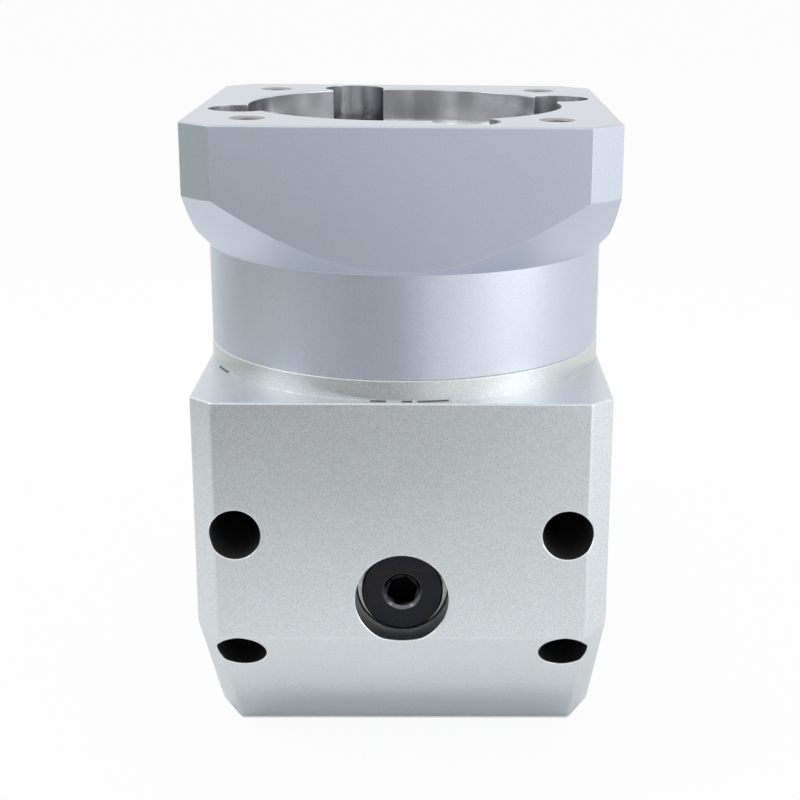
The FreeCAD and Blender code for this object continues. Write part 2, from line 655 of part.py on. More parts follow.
def along_x(shape):
    """Turn a piece made about Z to lie along X on the clamp screw's line, beside the motor axis."""
    turned_over = shape.rotated(Vector(0, 0, 0), Vector(0, 1, 0), 90)
    return turned_over.translated(Vector(0, -CLAMP_SCREW_OFFSET, CLAMP_SCREW_Z))


def clamp_access_plug():
    """Flush plug with a hex socket that closes the access hole of the clamp screw."""
    face = FLANGE_SQUARE / 2
    plug = rod(ACCESS_HOLE_DIA / 2 - SEAT_CLEARANCE, face - ACCESS_PLUG_LENGTH, face - EDGE_BREAK)
    socket = hexagon(ACCESS_PLUG_HEX, face - ACCESS_PLUG_LENGTH / 2, face)
    return on_motor_axis(along_x(plug.cut(socket)))


def ring_gear():
    body = rod(BODY_DIA / 2, RING_Y, HOUSING_Y)
    body = body.makeChamfer(EDGE_BREAK, [body.Edges[0], body.Edges[2]])
    half_step = 180.0 / RING_TEETH
    tools = [ring_gear_hole(FIRST_PLANET_ANGLE + half_step, RING_Y, HOUSING_Y)]
    for x, y in housing_bolt_places():
        tools.append(rod(M6.clearance_dia / 2, RING_Y, HOUSING_Y, x, y))
    return on_output_axis(body.cut(tools))


def output_housing():
    """Neck with the output bearings, the square flange and the pilot, which also holds the seal."""
    plate_back = -OUTPUT_FLANGE_THICKNESS
    plate = flange_prism(plate_back, 0)
    plate = plate.makeChamfer(EDGE_BREAK, plate.Edges)
    neck = rod(NECK_DIA / 2, HOUSING_Y, plate_back / 2)
    pilot = OUTPUT_PILOT_DIA / 2
    pilot_ring = turned([
        (0, plate_back / 2), (pilot, plate_back / 2), (pilot, OUTPUT_PILOT_HEIGHT - EDGE_BREAK),
        (pilot - EDGE_BREAK, OUTPUT_PILOT_HEIGHT), (0, OUTPUT_PILOT_HEIGHT),
    ])
    carrier_bore = CARRIER_RADIUS + CARRIER_HOUSING_GAP
    bearing_seat = OUTPUT_BEARING.outside / 2
    lip = OUTPUT_SEAL_DIA / 2 - BEARING_LIP_REACH
    inside = turned([
        (0, HOUSING_Y), (carrier_bore, HOUSING_Y), (carrier_bore, OUTPUT_BEARING_Y),
        (bearing_seat, OUTPUT_BEARING_Y), (bearing_seat, OUTPUT_LIP_Y), (lip, OUTPUT_LIP_Y),
        (lip, OUTPUT_SEAL_Y), (OUTPUT_SEAL_DIA / 2, OUTPUT_SEAL_Y),
        (OUTPUT_SEAL_DIA / 2, OUTPUT_PILOT_HEIGHT), (0, OUTPUT_PILOT_HEIGHT),
    ])
    tools = [inside]
    for x, y in four_around(OUTPUT_BOLT_CIRCLE, 45.0):
        tools.append(rod(OUTPUT_HOLE_DIA / 2, plate_back, 0, x, y))
    depth = HOUSING_BOLT_GRIP + TAPPED_HOLE_SPARE
    for x, y in housing_bolt_places():
        tools.append(rod(M6.dia / 2 + SEAT_CLEARANCE, HOUSING_Y, HOUSING_Y + depth, x, y))
    return on_output_axis(plate.fuse([neck, pilot_ring]).removeSplitter().cut(tools))


def input_housing_screws():
    length = POCKET_FLOOR_Z - BLOCK_TOP + INPUT_SCREW_GRIP
    screw = socket_screw(M6, length)
    places = four_around(POCKET_CIRCLE, POCKET_ANGLE)
    return [on_motor_axis(screw.translated(Vector(x, y, POCKET_FLOOR_Z))) for x, y in places]


def housing_bolts():
    seat = MOTOR_Y + HOUSING_BOLT_SEAT
    length = HOUSING_Y + HOUSING_BOLT_GRIP - seat
    bolt = socket_screw(M6, length).rotated(Vector(0, 0, 0), Vector(1, 0, 0), 180)
    return [on_output_axis(bolt.translated(Vector(x, y, seat))) for x, y in housing_bolt_places()]


def access_plug():
    """Threaded plug with a collar, made with its collar's front face at the recess depth."""
    front = MOTOR_Y - BLOCK_FRONT + PLUG_RECESS
    back = front + PLUG_COLLAR_HEIGHT
    collar = PLUG_COLLAR_DIA / 2
    thread = PLUG_THREAD_DIA / 2 - SEAT_CLEARANCE
    sink = PLUG_COUNTERSINK_DIA / 2
    tip = back + PLUG_THREAD_LENGTH
    plug = turned([
        (0, front + PLUG_COUNTERSINK_DEPTH), (sink - PLUG_COUNTERSINK_DEPTH, front + PLUG_COUNTERSINK_DEPTH),
        (sink, front), (collar - PLUG_COLLAR_BREAK, front), (collar, front + PLUG_COLLAR_BREAK),
        (collar, back), (thread, back), (thread, tip - PLUG_COLLAR_BREAK), (thread - PLUG_COLLAR_BREAK, tip),
        (0, tip),
    ])
    socket = hexagon(PLUG_HEX, front, front + PLUG_HEX_DEPTH, PLUG_HEX_TURN)
    return on_output_axis(plug.cut(socket))


def plug_washer():
    seat = MOTOR_Y - BLOCK_FRONT + PLUG_RECESS + PLUG_COLLAR_HEIGHT
    hole = PLUG_THREAD_DIA / 2 + SEAT_CLEARANCE
    return on_output_axis(tube(hole, PLUG_WASHER_DIA / 2, seat, seat + PLUG_WASHER_HEIGHT))


def bearing_sleeve():
    """Flanged sleeve that carries the two bearings of the bevel shaft in the block's rear bore."""
    outside = SLEEVE_RADIUS - SEAT_CLEARANCE
    flange = SLEEVE_FLANGE_RADIUS - SEAT_CLEARANCE
    seat = BEVEL_BEARING.outside / 2
    groove_end = RETAINER_Y + RETAINER_THICKNESS
    flange_y = RING_Y - SLEEVE_FLANGE_THICKNESS
    return on_output_axis(turned([
        (seat - SLEEVE_LIP_REACH, SLEEVE_Y), (outside, SLEEVE_Y), (outside, flange_y), (flange, flange_y),
        (flange, RING_Y), (seat, RING_Y), (seat, groove_end), (seat + RETAINER_GROOVE, groove_end),
        (seat + RETAINER_GROOVE, RETAINER_Y), (seat, RETAINER_Y), (seat, BEVEL_BEARING_Y),
        (seat - SLEEVE_LIP_REACH, BEVEL_BEARING_Y),
    ]))


def sleeve_retaining_ring():
    outer = BEVEL_BEARING.outside / 2 + RETAINER_GROOVE - SEAT_CLEARANCE
    return on_output_axis(retaining_ring(outer - RETAINER_WIDTH, outer, RETAINER_Y, 1))


# Input rotor

def clamp_hub():
    """Hollow hub: journal of the upper bearing, split clamp zone above, socket for the pinion below."""
    journal = UPPER_INPUT_BEARING.bore / 2
    shoulder = journal + SHOULDER_REACH
    clamp = CLAMP_HUB_DIA / 2
    bore = MOTOR_SHAFT_DIA / 2
    socket = LOWER_INPUT_BEARING.bore / 2 + SEAT_CLEARANCE
    socket_top = HOUSING_Z + PINION_SOCKET_DEPTH
    hub = turned([
        (socket, HOUSING_Z), (journal, HOUSING_Z), (journal, UPPER_LIP_Z), (shoulder, UPPER_LIP_Z),
        (shoulder, CAVITY_Z), (clamp, CAVITY_Z), (clamp, HUB_TOP_Z), (bore, HUB_TOP_Z),
        (bore, socket_top + HUB_WEB), (0, socket_top + HUB_WEB), (0, socket_top), (socket, socket_top),
    ])
    start = CAVITY_Z + CLAMP_SLIT_START
    slit = Part.makeBox(CLAMP_HUB_DIA, CLAMP_SLIT, HUB_TOP_Z - start)
    slit = slit.translated(Vector(-CLAMP_HUB_DIA / 2, -CLAMP_SLIT / 2, start))
    crossing = slit.rotated(Vector(0, 0, 0), Vector(0, 0, 1), 90)
    return on_motor_axis(hub.cut([slit, crossing]))


def clamp_collar():
    """Slit collar round the hub, drawn together by one screw across its slit."""
    low = COLLAR_TOP_Z - COLLAR_HEIGHT
    ring = tube(CLAMP_HUB_DIA / 2 + SEAT_CLEARANCE, COLLAR_RADIUS, low, COLLAR_TOP_Z)
    slit = Part.makeBox(COLLAR_SLIT, COLLAR_RADIUS, COLLAR_HEIGHT)
    slit = slit.translated(Vector(-COLLAR_SLIT / 2, -COLLAR_RADIUS, low))
    thread = rod(M5.dia / 2 + SEAT_CLEARANCE, -COLLAR_RADIUS, 0)
    shank = rod(M5.clearance_dia / 2, 0, CLAMP_SCREW_SEAT)
    head = rod(M5.head_dia / 2 + COLLAR_HEAD_GAP, CLAMP_SCREW_SEAT, COLLAR_RADIUS)
    return on_motor_axis(ring.cut([slit] + [along_x(tool) for tool in (thread, shank, head)]))


def clamp_screw():
    screw = socket_screw(M5, CLAMP_SCREW_LENGTH).translated(Vector(0, 0, CLAMP_SCREW_SEAT))
    return on_motor_axis(along_x(screw))


def bevel_pinion():
    """Pinion in one piece with its shaft, which runs in the lower bearing and ends in the clamp hub."""
    spare = PINION.rise
    root_radius, root_height = PINION.heel_corner(-PINION.drop)
    toe_radius, toe_height = PINION.toe_corner(-PINION.drop)
    blank = turned([
        (0, toe_height), (toe_radius, toe_height), PINION.toe_corner(PINION.rise + spare),
        PINION.heel_corner(PINION.rise + spare), (root_radius, root_height), (0, root_height),
    ])
    cone = PINION.toothed_cone(90.0, PINION.toe_corner(PINION.rise + spare)[1] / 2, root_height + spare)
    neck = PINION_NECK_DIA / 2
    journal = LOWER_INPUT_BEARING.bore / 2
    shoulder = journal + SHOULDER_REACH
    socket_end = HOUSING_Z + PINION_SOCKET_DEPTH - END_GAP
    shaft = turned([
        (0, root_height), (root_radius, root_height), (neck, root_height + PINION_NECK_BLEND),
        (neck, LOWER_SEAT_Z - PINION_SHOULDER_HEIGHT), (shoulder, LOWER_SEAT_Z - PINION_SHOULDER_HEIGHT),
        (shoulder, LOWER_SEAT_Z), (journal, LOWER_SEAT_Z), (journal, socket_end - EDGE_BREAK),
        (journal - EDGE_BREAK, socket_end), (0, socket_end),
    ])
    return on_motor_axis(cone.common(blank).fuse(shaft).removeSplitter())


# Bevel shaft, heights along the output axis from the bevel apex on the motor axis

def bevel_gear():
    """Bevel wheel with a hub and a keyway, pressed on the front end of the sun shaft."""
    spare = GEAR.rise
    bore = GEAR_BORE_DIA / 2 + SEAT_CLEARANCE
    toe_radius, toe_height = GEAR.toe_corner(-GEAR.drop)
    back_radius, back_height = GEAR.heel_corner(-GEAR.drop)
    hub = GEAR_HUB_DIA / 2
    rim_radius = back_radius - (GEAR_RIM_BACK - back_height) * math.tan(math.pi / 2 - GEAR.cone)
    web_radius = toe_radius - (GEAR_WEB_FRONT - toe_height)
    blank = turned([
        (bore, GEAR_WEB_FRONT), (web_radius, GEAR_WEB_FRONT), (toe_radius, toe_height),
        GEAR.toe_corner(GEAR.rise + spare), GEAR.heel_corner(GEAR.rise + spare),
        (back_radius, back_height), (rim_radius, GEAR_RIM_BACK), (hub, GEAR_RIM_BACK),
        (hub, GEAR_HUB_BACK), (bore, GEAR_HUB_BACK),
    ])
    half_step = 180.0 / BEVEL_GEAR_TEETH
    low = GEAR.toe_corner(GEAR.rise + spare)[1] / 2
    cone = GEAR.toothed_cone(270.0 + half_step, low, GEAR_HUB_BACK + spare)
    gear = cone.common(blank).cut(gear_keyway(SEAT_CLEARANCE))
    return on_output_axis(gear.translated(Vector(0, 0, MOTOR_Y)))


def gear_keyway(clearance):
    """Bar of the key between gear and shaft, grown by a clearance on its sides and top."""
    half = GEAR_KEY_WIDTH / 2 + clearance
    top = GEAR_BORE_DIA / 2 + GEAR_KEY_RISE + clearance
    floor = GEAR_BORE_DIA / 2 - GEAR_KEY_RISE - clearance
    bar = Part.makeBox(2 * half, top - floor, GEAR_HUB_BACK - GEAR_WEB_FRONT)
    return bar.translated(Vector(-half, floor, GEAR_WEB_FRONT))


def bevel_key():
    return on_output_axis(gear_keyway(0).translated(Vector(0, 0, MOTOR_Y)))


def sun_shaft():
    """Bevel shaft in one piece with the first sun: gear seat, shoulder, bearing journal, neck, teeth."""
    seat = GEAR_BORE_DIA / 2
    journal = BEVEL_BEARING.bore / 2
    front = MOTOR_Y + GEAR_WEB_FRONT
    groove_end = RETAINER_Y + RETAINER_THICKNESS
    journal_end = groove_end + RETAINER_THICKNESS
    sun_start = FIRST_FRONT_Y + STAGE_GAP
    hole = M6.dia / 2 + SEAT_CLEARANCE
    hole_end = front + GEAR_SCREW_LENGTH
    shaft = turned([
        (hole, front), (seat, front), (seat, SLEEVE_Y), (journal + SHOULDER_REACH / 2, SLEEVE_Y),
        (journal + SHOULDER_REACH / 2, BEVEL_BEARING_Y), (journal, BEVEL_BEARING_Y), (journal, RETAINER_Y),
        (journal - RETAINER_GROOVE, RETAINER_Y), (journal - RETAINER_GROOVE, groove_end),
        (journal, groove_end), (journal, journal_end), (SUN_NECK_RADIUS, journal_end),
        (SUN_NECK_RADIUS, sun_start),
        (0, sun_start), (0, hole_end), (hole, hole_end),
    ])
    teeth = planetary_teeth(SUN_TEETH, FIRST_PLANET_ANGLE, sun_start, first_sun_end())
    keyway = gear_keyway(SEAT_CLEARANCE).translated(Vector(0, 0, MOTOR_Y))
    return on_output_axis(shaft.cut(keyway).fuse(teeth))


def first_sun_end():
    return FIRST_POCKET_END_Y + STAGE_GAP / 2


def shaft_retaining_ring():
    inner = BEVEL_BEARING.bore / 2 - RETAINER_GROOVE + SEAT_CLEARANCE
    return on_output_axis(retaining_ring(inner, inner + RETAINER_WIDTH, RETAINER_Y, -1))


def gear_washer():
    face = MOTOR_Y + GEAR_WEB_FRONT
    hole = M6.clearance_dia / 2
    return on_output_axis(tube(hole, GEAR_WASHER_DIA / 2, face - GEAR_WASHER_HEIGHT, face))


def gear_screw():
    seat = MOTOR_Y + GEAR_WEB_FRONT - GEAR_WASHER_HEIGHT
    screw = socket_screw(M6, GEAR_SCREW_LENGTH).rotated(Vector(0, 0, 0), Vector(1, 0, 0), 180)
    return on_output_axis(screw.translated(Vector(0, 0, seat)))


# Planetary stages

def cage(front, pocket, pocket_end, rear, bore_end):
    """Carrier cage: a drum with one pocket per planet, a bore for the sun and holes for the pins."""
    drum = rod(CARRIER_RADIUS, front, rear)
    tools = [rod(SUN_TIP_RADIUS + SUN_BORE_GAP, front, bore_end)]
    for angle in PLANET_ANGLES:
        x, y = polar(PLANET_ORBIT, angle)
        tools.append(rod(PLANET_TIP_RADIUS + PLANET_POCKET_GAP, pocket, pocket_end, x, y))
        pin_hole = PLANET_PIN_DIA / 2 + SEAT_CLEARANCE
        tools.append(rod(pin_hole, front, rear - PIN_RECESS, x, y))
    return drum.cut(tools)


def first_carrier():
    bore_end = first_sun_end() + END_GAP
    drum = cage(FIRST_FRONT_Y, FIRST_POCKET_Y, FIRST_POCKET_END_Y, FIRST_REAR_Y, bore_end)
    return on_output_axis(drum.cut(rod(SUN_NECK_RADIUS + SEAT_CLEARANCE, bore_end, FIRST_REAR_Y)))


def second_sun():
    """Sun of the second stage, pressed into the first carrier by its plain end."""
    start = first_sun_end() + END_GAP
    teeth_start = FIRST_REAR_Y + END_GAP
    neck = rod(SUN_NECK_RADIUS, start, teeth_start)
    teeth = planetary_teeth(SUN_TEETH, FIRST_PLANET_ANGLE, teeth_start, SECOND_POCKET_END_Y)
    return on_output_axis(neck.fuse(teeth))


def planet_pins(front, rear):
    pins = []
    for angle in PLANET_ANGLES:
        x, y = polar(PLANET_ORBIT, angle)
        pin = rod(PLANET_PIN_DIA / 2, front + PIN_RECESS, rear - PIN_RECESS, x, y)
        pins.append(on_output_axis(pin.makeChamfer(EDGE_BREAK, [pin.Edges[0], pin.Edges[2]])))
    return pins


def planet_gear(angle, low, high):
    """Planet with a space towards the sun's tooth and a space towards the ring's tooth."""
    x, y = polar(PLANET_ORBIT, angle)
    half_step = 180.0 / PLANET_TEETH
    teeth = planetary_teeth(PLANET_TEETH, angle + half_step, low, high)
    gear = teeth.cut(rod(PLANET_BORE_RADIUS + SEAT_CLEARANCE, low, high))
    return on_output_axis(gear.translated(Vector(x, y, 0)))


def planet_bush(angle, low, high):
    x, y = polar(PLANET_ORBIT, angle)
    bush = tube(PLANET_PIN_DIA / 2 + RUNNING_CLEARANCE, PLANET_BORE_RADIUS, low, high)
    return on_output_axis(bush.translated(Vector(x, y, 0)))


def output_shaft():
    """Second carrier in one piece with the output shaft: cage, journal, shaft end with its keyway."""
    drum = cage(SECOND_FRONT_Y, SECOND_POCKET_Y, SECOND_POCKET_END_Y, SECOND_REAR_Y,
                SECOND_POCKET_END_Y + STAGE_GAP / 2)
    journal = OUTPUT_BEARING.bore / 2
    shoulder = journal + SHOULDER_REACH
    end = OUTPUT_SHAFT_DIA / 2
    tip = SHAFT_SHOULDER_Y + OUTPUT_SHAFT_LENGTH
    hole = CENTRE_HOLE_DIA / 2
    shaft = turned([
        (0, SECOND_REAR_Y), (shoulder, SECOND_REAR_Y), (shoulder, OUTPUT_BEARING_Y),
        (journal, OUTPUT_BEARING_Y), (journal, SHAFT_SHOULDER_Y - OUTPUT_SHAFT_CHAMFER),
        (journal - OUTPUT_SHAFT_CHAMFER, SHAFT_SHOULDER_Y), (end, SHAFT_SHOULDER_Y),
        (end, tip - OUTPUT_SHAFT_CHAMFER), (end - OUTPUT_SHAFT_CHAMFER, tip), (hole, tip),
        (hole, tip - CENTRE_HOLE_DEPTH), (0, tip - CENTRE_HOLE_DEPTH),
    ])
    # The seam of the round faces is turned away from the keyway
    shaft = shaft.rotated(Vector(0, 0, 0), Vector(0, 0, 1), SHAFT_SEAM_ANGLE)
    return on_output_axis(drum.fuse(shaft).cut(keyway()))


def keyway():
    """Round-ended slot on the upper side of the output shaft."""
    radius = KEYWAY_WIDTH / 2
    low = SHAFT_SHOULDER_Y + KEYWAY_MARGIN + radius
    high = SHAFT_SHOULDER_Y + KEYWAY_MARGIN + KEYWAY_LENGTH - radius
    top = OUTPUT_SHAFT_DIA / 2
    bar = Part.makeBox(KEYWAY_WIDTH, KEYWAY_DEPTH, high - low)
    slot = bar.translated(Vector(-radius, -top, low))
    for height in (low, high):
        end = Part.makeCylinder(radius, KEYWAY_DEPTH, Vector(0, -top, height), Vector(0, 1, 0))
        slot = slot.fuse(end)
    return slot


os.makedirs("parts", exist_ok=True)

# Housing and what stays still with it
save("right_angle_block", right_angle_block())
save("adapter_ring", adapter_ring())
save("input_housing", input_housing())
save("input_housing_screws", *input_housing_screws())
save("clamp_access_plug", clamp_access_plug())
save("access_plug", access_plug())
save("plug_washer", plug_washer())
save("bearing_sleeve", bearing_sleeve())
save("sleeve_retaining_ring", sleeve_retaining_ring())
save("ring_gear", ring_gear())
save("output_housing", output_housing())
save("housing_bolts", *housing_bolts())
seal_base = BLOCK_TOP + SHIELD_GAP
save("input_seal", on_motor_axis(
    shaft_seal(LOWER_INPUT_BEARING.bore, INPUT_SEAL_DIA, seal_base, seal_base + INPUT_SEAL_HEIGHT)))
save("output_seal", on_output_axis(
    shaft_seal(OUTPUT_BEARING.bore, OUTPUT_SEAL_DIA, OUTPUT_SEAL_Y, OUTPUT_PILOT_HEIGHT)))

# Bearings: each outer race stays with its housing, each inner race turns with its shaft
bearing_places = [
    ("lower_input_bearing", LOWER_INPUT_BEARING, LOWER_SEAT_Z, on_motor_axis),
    ("upper_input_bearing", UPPER_INPUT_BEARING, HOUSING_Z, on_motor_axis),
    ("front_bevel_bearing", BEVEL_BEARING, BEVEL_BEARING_Y, on_output_axis),
    ("rear_bevel_bearing", BEVEL_BEARING, BEVEL_BEARING_Y + BEVEL_BEARING.width, on_output_axis),
    ("inner_output_bearing", OUTPUT_BEARING, OUTPUT_BEARING_Y, on_output_axis),
    ("outer_output_bearing", OUTPUT_BEARING, OUTPUT_BEARING_Y + OUTPUT_BEARING.width, on_output_axis),
]
for name, bearing, low, place in bearing_places:
    save(name + "_outer_race", place(outer_race(bearing, low)))
    save(name + "_inner_race", place(inner_race(bearing, low)))

# Input rotor
save("clamp_hub", clamp_hub())
save("clamp_collar", clamp_collar())
save("clamp_screw", clamp_screw())
save("bevel_pinion", bevel_pinion())

# Bevel shaft
save("bevel_gear", bevel_gear())
save("bevel_key", bevel_key())
save("sun_shaft", sun_shaft())
save("shaft_retaining_ring", shaft_retaining_ring())
save("gear_washer", gear_washer())
save("gear_screw", gear_screw())

# Planetary stages and output shaft
save("first_carrier", first_carrier())
save("second_sun", second_sun())
save("output_shaft", output_shaft())
stages = [
    ("first", FIRST_FRONT_Y, FIRST_POCKET_Y + PLANET_PLAY, FIRST_PLANET_WIDTH, FIRST_REAR_Y),
    ("second", SECOND_FRONT_Y, SECOND_POCKET_Y + PLANET_PLAY, SECOND_PLANET_WIDTH, SECOND_REAR_Y),
]
for stage, front, planet_low, width, rear in stages:
    save(stage + "_planet_pins", *planet_pins(front, rear))
    for number, angle in enumerate(PLANET_ANGLES, start=1):
        save("%s_planet_%d" % (stage, number), planet_gear(angle, planet_low, planet_low + width))
        save("%s_bush_%d" % (stage, number), planet_bush(angle, planet_low, planet_low + width))
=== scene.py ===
import math

import bpy
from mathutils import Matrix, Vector


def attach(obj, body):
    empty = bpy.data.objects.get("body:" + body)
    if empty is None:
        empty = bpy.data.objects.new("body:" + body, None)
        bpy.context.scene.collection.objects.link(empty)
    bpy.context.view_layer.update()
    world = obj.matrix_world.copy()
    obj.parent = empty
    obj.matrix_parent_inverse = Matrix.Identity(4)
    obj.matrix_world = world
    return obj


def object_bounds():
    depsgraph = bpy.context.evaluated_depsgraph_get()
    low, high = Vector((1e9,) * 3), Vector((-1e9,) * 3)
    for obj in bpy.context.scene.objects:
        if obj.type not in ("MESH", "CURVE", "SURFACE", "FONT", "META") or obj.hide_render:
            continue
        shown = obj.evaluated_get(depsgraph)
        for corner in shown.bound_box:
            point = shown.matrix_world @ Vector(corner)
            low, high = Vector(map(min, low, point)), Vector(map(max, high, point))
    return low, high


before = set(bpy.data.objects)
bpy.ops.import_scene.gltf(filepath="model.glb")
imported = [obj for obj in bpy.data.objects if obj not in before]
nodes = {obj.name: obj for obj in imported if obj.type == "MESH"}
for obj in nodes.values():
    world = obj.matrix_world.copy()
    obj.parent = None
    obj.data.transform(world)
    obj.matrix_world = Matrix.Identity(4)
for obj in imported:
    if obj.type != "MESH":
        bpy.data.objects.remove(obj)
cad_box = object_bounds()

# Right angle block: the aluminium body that turns the drive through a right angle.
# It is milled all over, bead blasted to a soft sparkle and clear anodised.
# Its four deep bolt holes and the plug recess are drilled after the blasting; their walls are painted darker
# as painted shade.
MM = 0.001
MOTOR_AXIS = (0.0, -122 * MM, 0.0)
OUTPUT_AXIS = (0.0, 0.0, 0.0)
AXES = {"Y": OUTPUT_AXIS, "Z": MOTOR_AXIS}
ACROSS = {"Y": (1, 0, 1), "Z": (1, 1, 0)}
STEP_WIDTH = 0.02 * MM
MIX_SOCKETS = {"FLOAT": (2, 3, 0), "RGBA": (6, 7, 2)}
NOISE_LOW = 0.35
NOISE_HIGH = 0.65
ROUNDING_SAMPLES = 6
CORNER_SAMPLES = 8
CORNER_REACH = 1.5
CORNER_FLAT = 0.96
CORNER_SHARP = 0.70
WEAR_LUMP = 1.6 * MM
WEAR_LOW = 0.4
WEAR_HIGH = 0.6
LEAST_WEAR = 0.3
CLOUD_SIZE = 30 * MM
CLOUD_AMOUNT = 0.012
SPARKLE_GLOSS = 0.03


class Finish:
    """One finish, built up layer by layer and then closed into a material."""

    def __init__(self, name, colour, roughness, edge, metallic=1.0):
        self.material = bpy.data.materials.new(name)
        self.material.use_nodes = True
        self.tree = self.material.node_tree
        self.shader = self.tree.nodes["Principled BSDF"]
        self.shader.inputs["Metallic"].default_value = metallic
        self.place = self.add("TexCoord", {}).outputs["Object"]
        self.colour = colour
        self.roughness = roughness
        self.edge = edge
        self.rounding = self.add("Bevel", {"Radius": edge}, samples=ROUNDING_SAMPLES)
        self.normal = self.rounding.outputs[0]

    def feed(self, socket, value):
        """Links a value to a socket, or sets it there if it is the same all over."""
        if isinstance(value, bpy.types.NodeSocket):
            self.tree.links.new(value, socket)
        elif socket.type == "RGBA":
            socket.default_value = (*value, 1.0)
        else:
            socket.default_value = value

    def add(self, kind, inputs, **settings):
        made = self.tree.nodes.new("ShaderNode" + kind)
        for key, value in settings.items():
            setattr(made, key, value)
        for key, value in inputs.items():
            self.feed(made.inputs[key], value)
        return made

    def math(self, operation, first, second=0.0):
        return self.add("Math", {0: first, 1: second}, operation=operation).outputs[0]

    def both(self, first, second):
        """1 where two shares are both 1."""
        return self.math("MULTIPLY", first, second)

    def vector(self, operation, first, second=(0.0, 0.0, 0.0)):
        return self.add("VectorMath", {0: first, 1: second}, operation=operation)

    def ranged(self, value, low, high, to_low=0.0, to_high=1.0):
        limits = {"Value": value, "From Min": low, "From Max": high, "To Min": to_low, "To Max": to_high}
        return self.add("MapRange", limits).outputs["Result"]

    def mixed(self, kind, share, first, second, blend="MIX"):
        """Two numbers or two colours mixed by a share; the mix node has other sockets for each kind."""
        one, two, result = MIX_SOCKETS[kind]
        inputs = {0: share, one: first, two: second}
        return self.add("Mix", inputs, data_type=kind, blend_type=blend).outputs[result]

    def noise(self, size, detail=2.0, place=None):
        """Noise with lumps of about this size, in the units of the place."""
        spread = self.vector("MULTIPLY", place or self.place, (1.0 / size,) * 3).outputs[0]
        return self.add("TexNoise", {"Vector": spread, "Scale": 1.0, "Detail": detail}).outputs["Fac"]

    def along(self, axis):
        """How far along an axis a point is."""
        return self.add("SeparateXYZ", {0: self.place}).outputs[axis]

    def from_axis(self, axis, centre, mirrored_about=None):
        """How far a point is from a line along an axis, or from the nearest of its four mirror images."""
        offset = self.place
        if mirrored_about:
            offset = self.vector("SUBTRACT", offset, mirrored_about).outputs[0]
            offset = self.vector("ABSOLUTE", offset).outputs[0]
        offset = self.vector("SUBTRACT", offset, centre).outputs[0]
        flat = self.vector("MULTIPLY", offset, ACROSS[axis]).outputs[0]
        return self.vector("LENGTH", flat).outputs["Value"]

    def inside(self, distance, radius):
        """1 on the wall of a hole and within it, 0 outside."""
        return self.ranged(distance, radius + STEP_WIDTH, radius + STEP_WIDTH / 4)

    def lathe_lines(self, axis, size):
        """Fine rings round an axis, on round walls and on end faces alike."""
        radius = self.from_axis(axis, AXES[axis])
        rings = self.add("CombineXYZ", {"X": radius, "Y": self.along(axis)}).outputs[0]
        return self.noise(size, place=rings)

    def toned(self, colour, source, amount):
        """A colour lightened and darkened by this share, following a noise."""
        level = self.ranged(source, NOISE_LOW, NOISE_HIGH, 1.0 - amount, 1.0 + amount)
        tone = self.add("CombineColor", {"Red": level, "Green": level, "Blue": level}).outputs[0]
        return self.mixed("RGBA", 1.0, colour, tone, blend="MULTIPLY")

    def mottle(self, source, amount):
        self.colour = self.toned(self.colour, source, amount)

    def vary_roughness(self, source, amount):
        low, high = self.roughness - amount, self.roughness + amount
        self.roughness = self.ranged(source, NOISE_LOW, NOISE_HIGH, low, high)

    def patch(self, share, colour, roughness):
        """Another colour and roughness where share is 1."""
        self.colour = self.mixed("RGBA", share, self.colour, colour)
        self.roughness = self.mixed("FLOAT", share, self.roughness, roughness)

    def worn_edges(self, colour, roughness, strength):
        """Lets the bare metal shine along the outward edges, here more and there less."""
        reach = {"Distance": CORNER_REACH * self.edge}
        corner = self.add("AmbientOcclusion", reach, inside=True, only_local=True, samples=CORNER_SAMPLES)
        corner = self.ranged(corner.outputs["AO"], CORNER_FLAT, CORNER_SHARP)
        wear = self.ranged(self.noise(WEAR_LUMP), WEAR_LOW, WEAR_HIGH, LEAST_WEAR * strength, strength)
        self.patch(self.both(corner, wear), colour, roughness)

    def relief(self, source, depth):
        inputs = {"Height": source, "Distance": depth, "Normal": self.normal}
        self.normal = self.add("Bump", inputs).outputs[0]

    def blasted(self, grain, amount, depth):
        """The fine sparkle that bead blasting leaves, over a faint cloudiness."""
        sparkle = self.noise(grain, detail=1.0)
        self.mottle(sparkle, amount)
        self.mottle(self.noise(CLOUD_SIZE), CLOUD_AMOUNT)
        self.vary_roughness(sparkle, SPARKLE_GLOSS)
        self.relief(sparkle, depth)

    def grained(self, grain, amount, depth, lump, gloss, detail=3.0):
        """A grain that shades the surface and stands up from it, with gloss that changes in larger lumps."""
        source = self.noise(grain, detail)
        self.mottle(source, amount)
        self.vary_roughness(self.noise(lump), gloss)
        self.relief(source, depth)

    def close(self, *names):
        """Joins the layers to the shader, and puts the material on the named nodes."""
        self.feed(self.shader.inputs["Base Color"], self.colour)
        self.feed(self.shader.inputs["Roughness"], self.roughness)
        self.feed(self.shader.inputs["Normal"], self.normal)
        for name in names:
            nodes[name].data.materials.clear()
            nodes[name].data.materials.append(self.material)
        return self.material


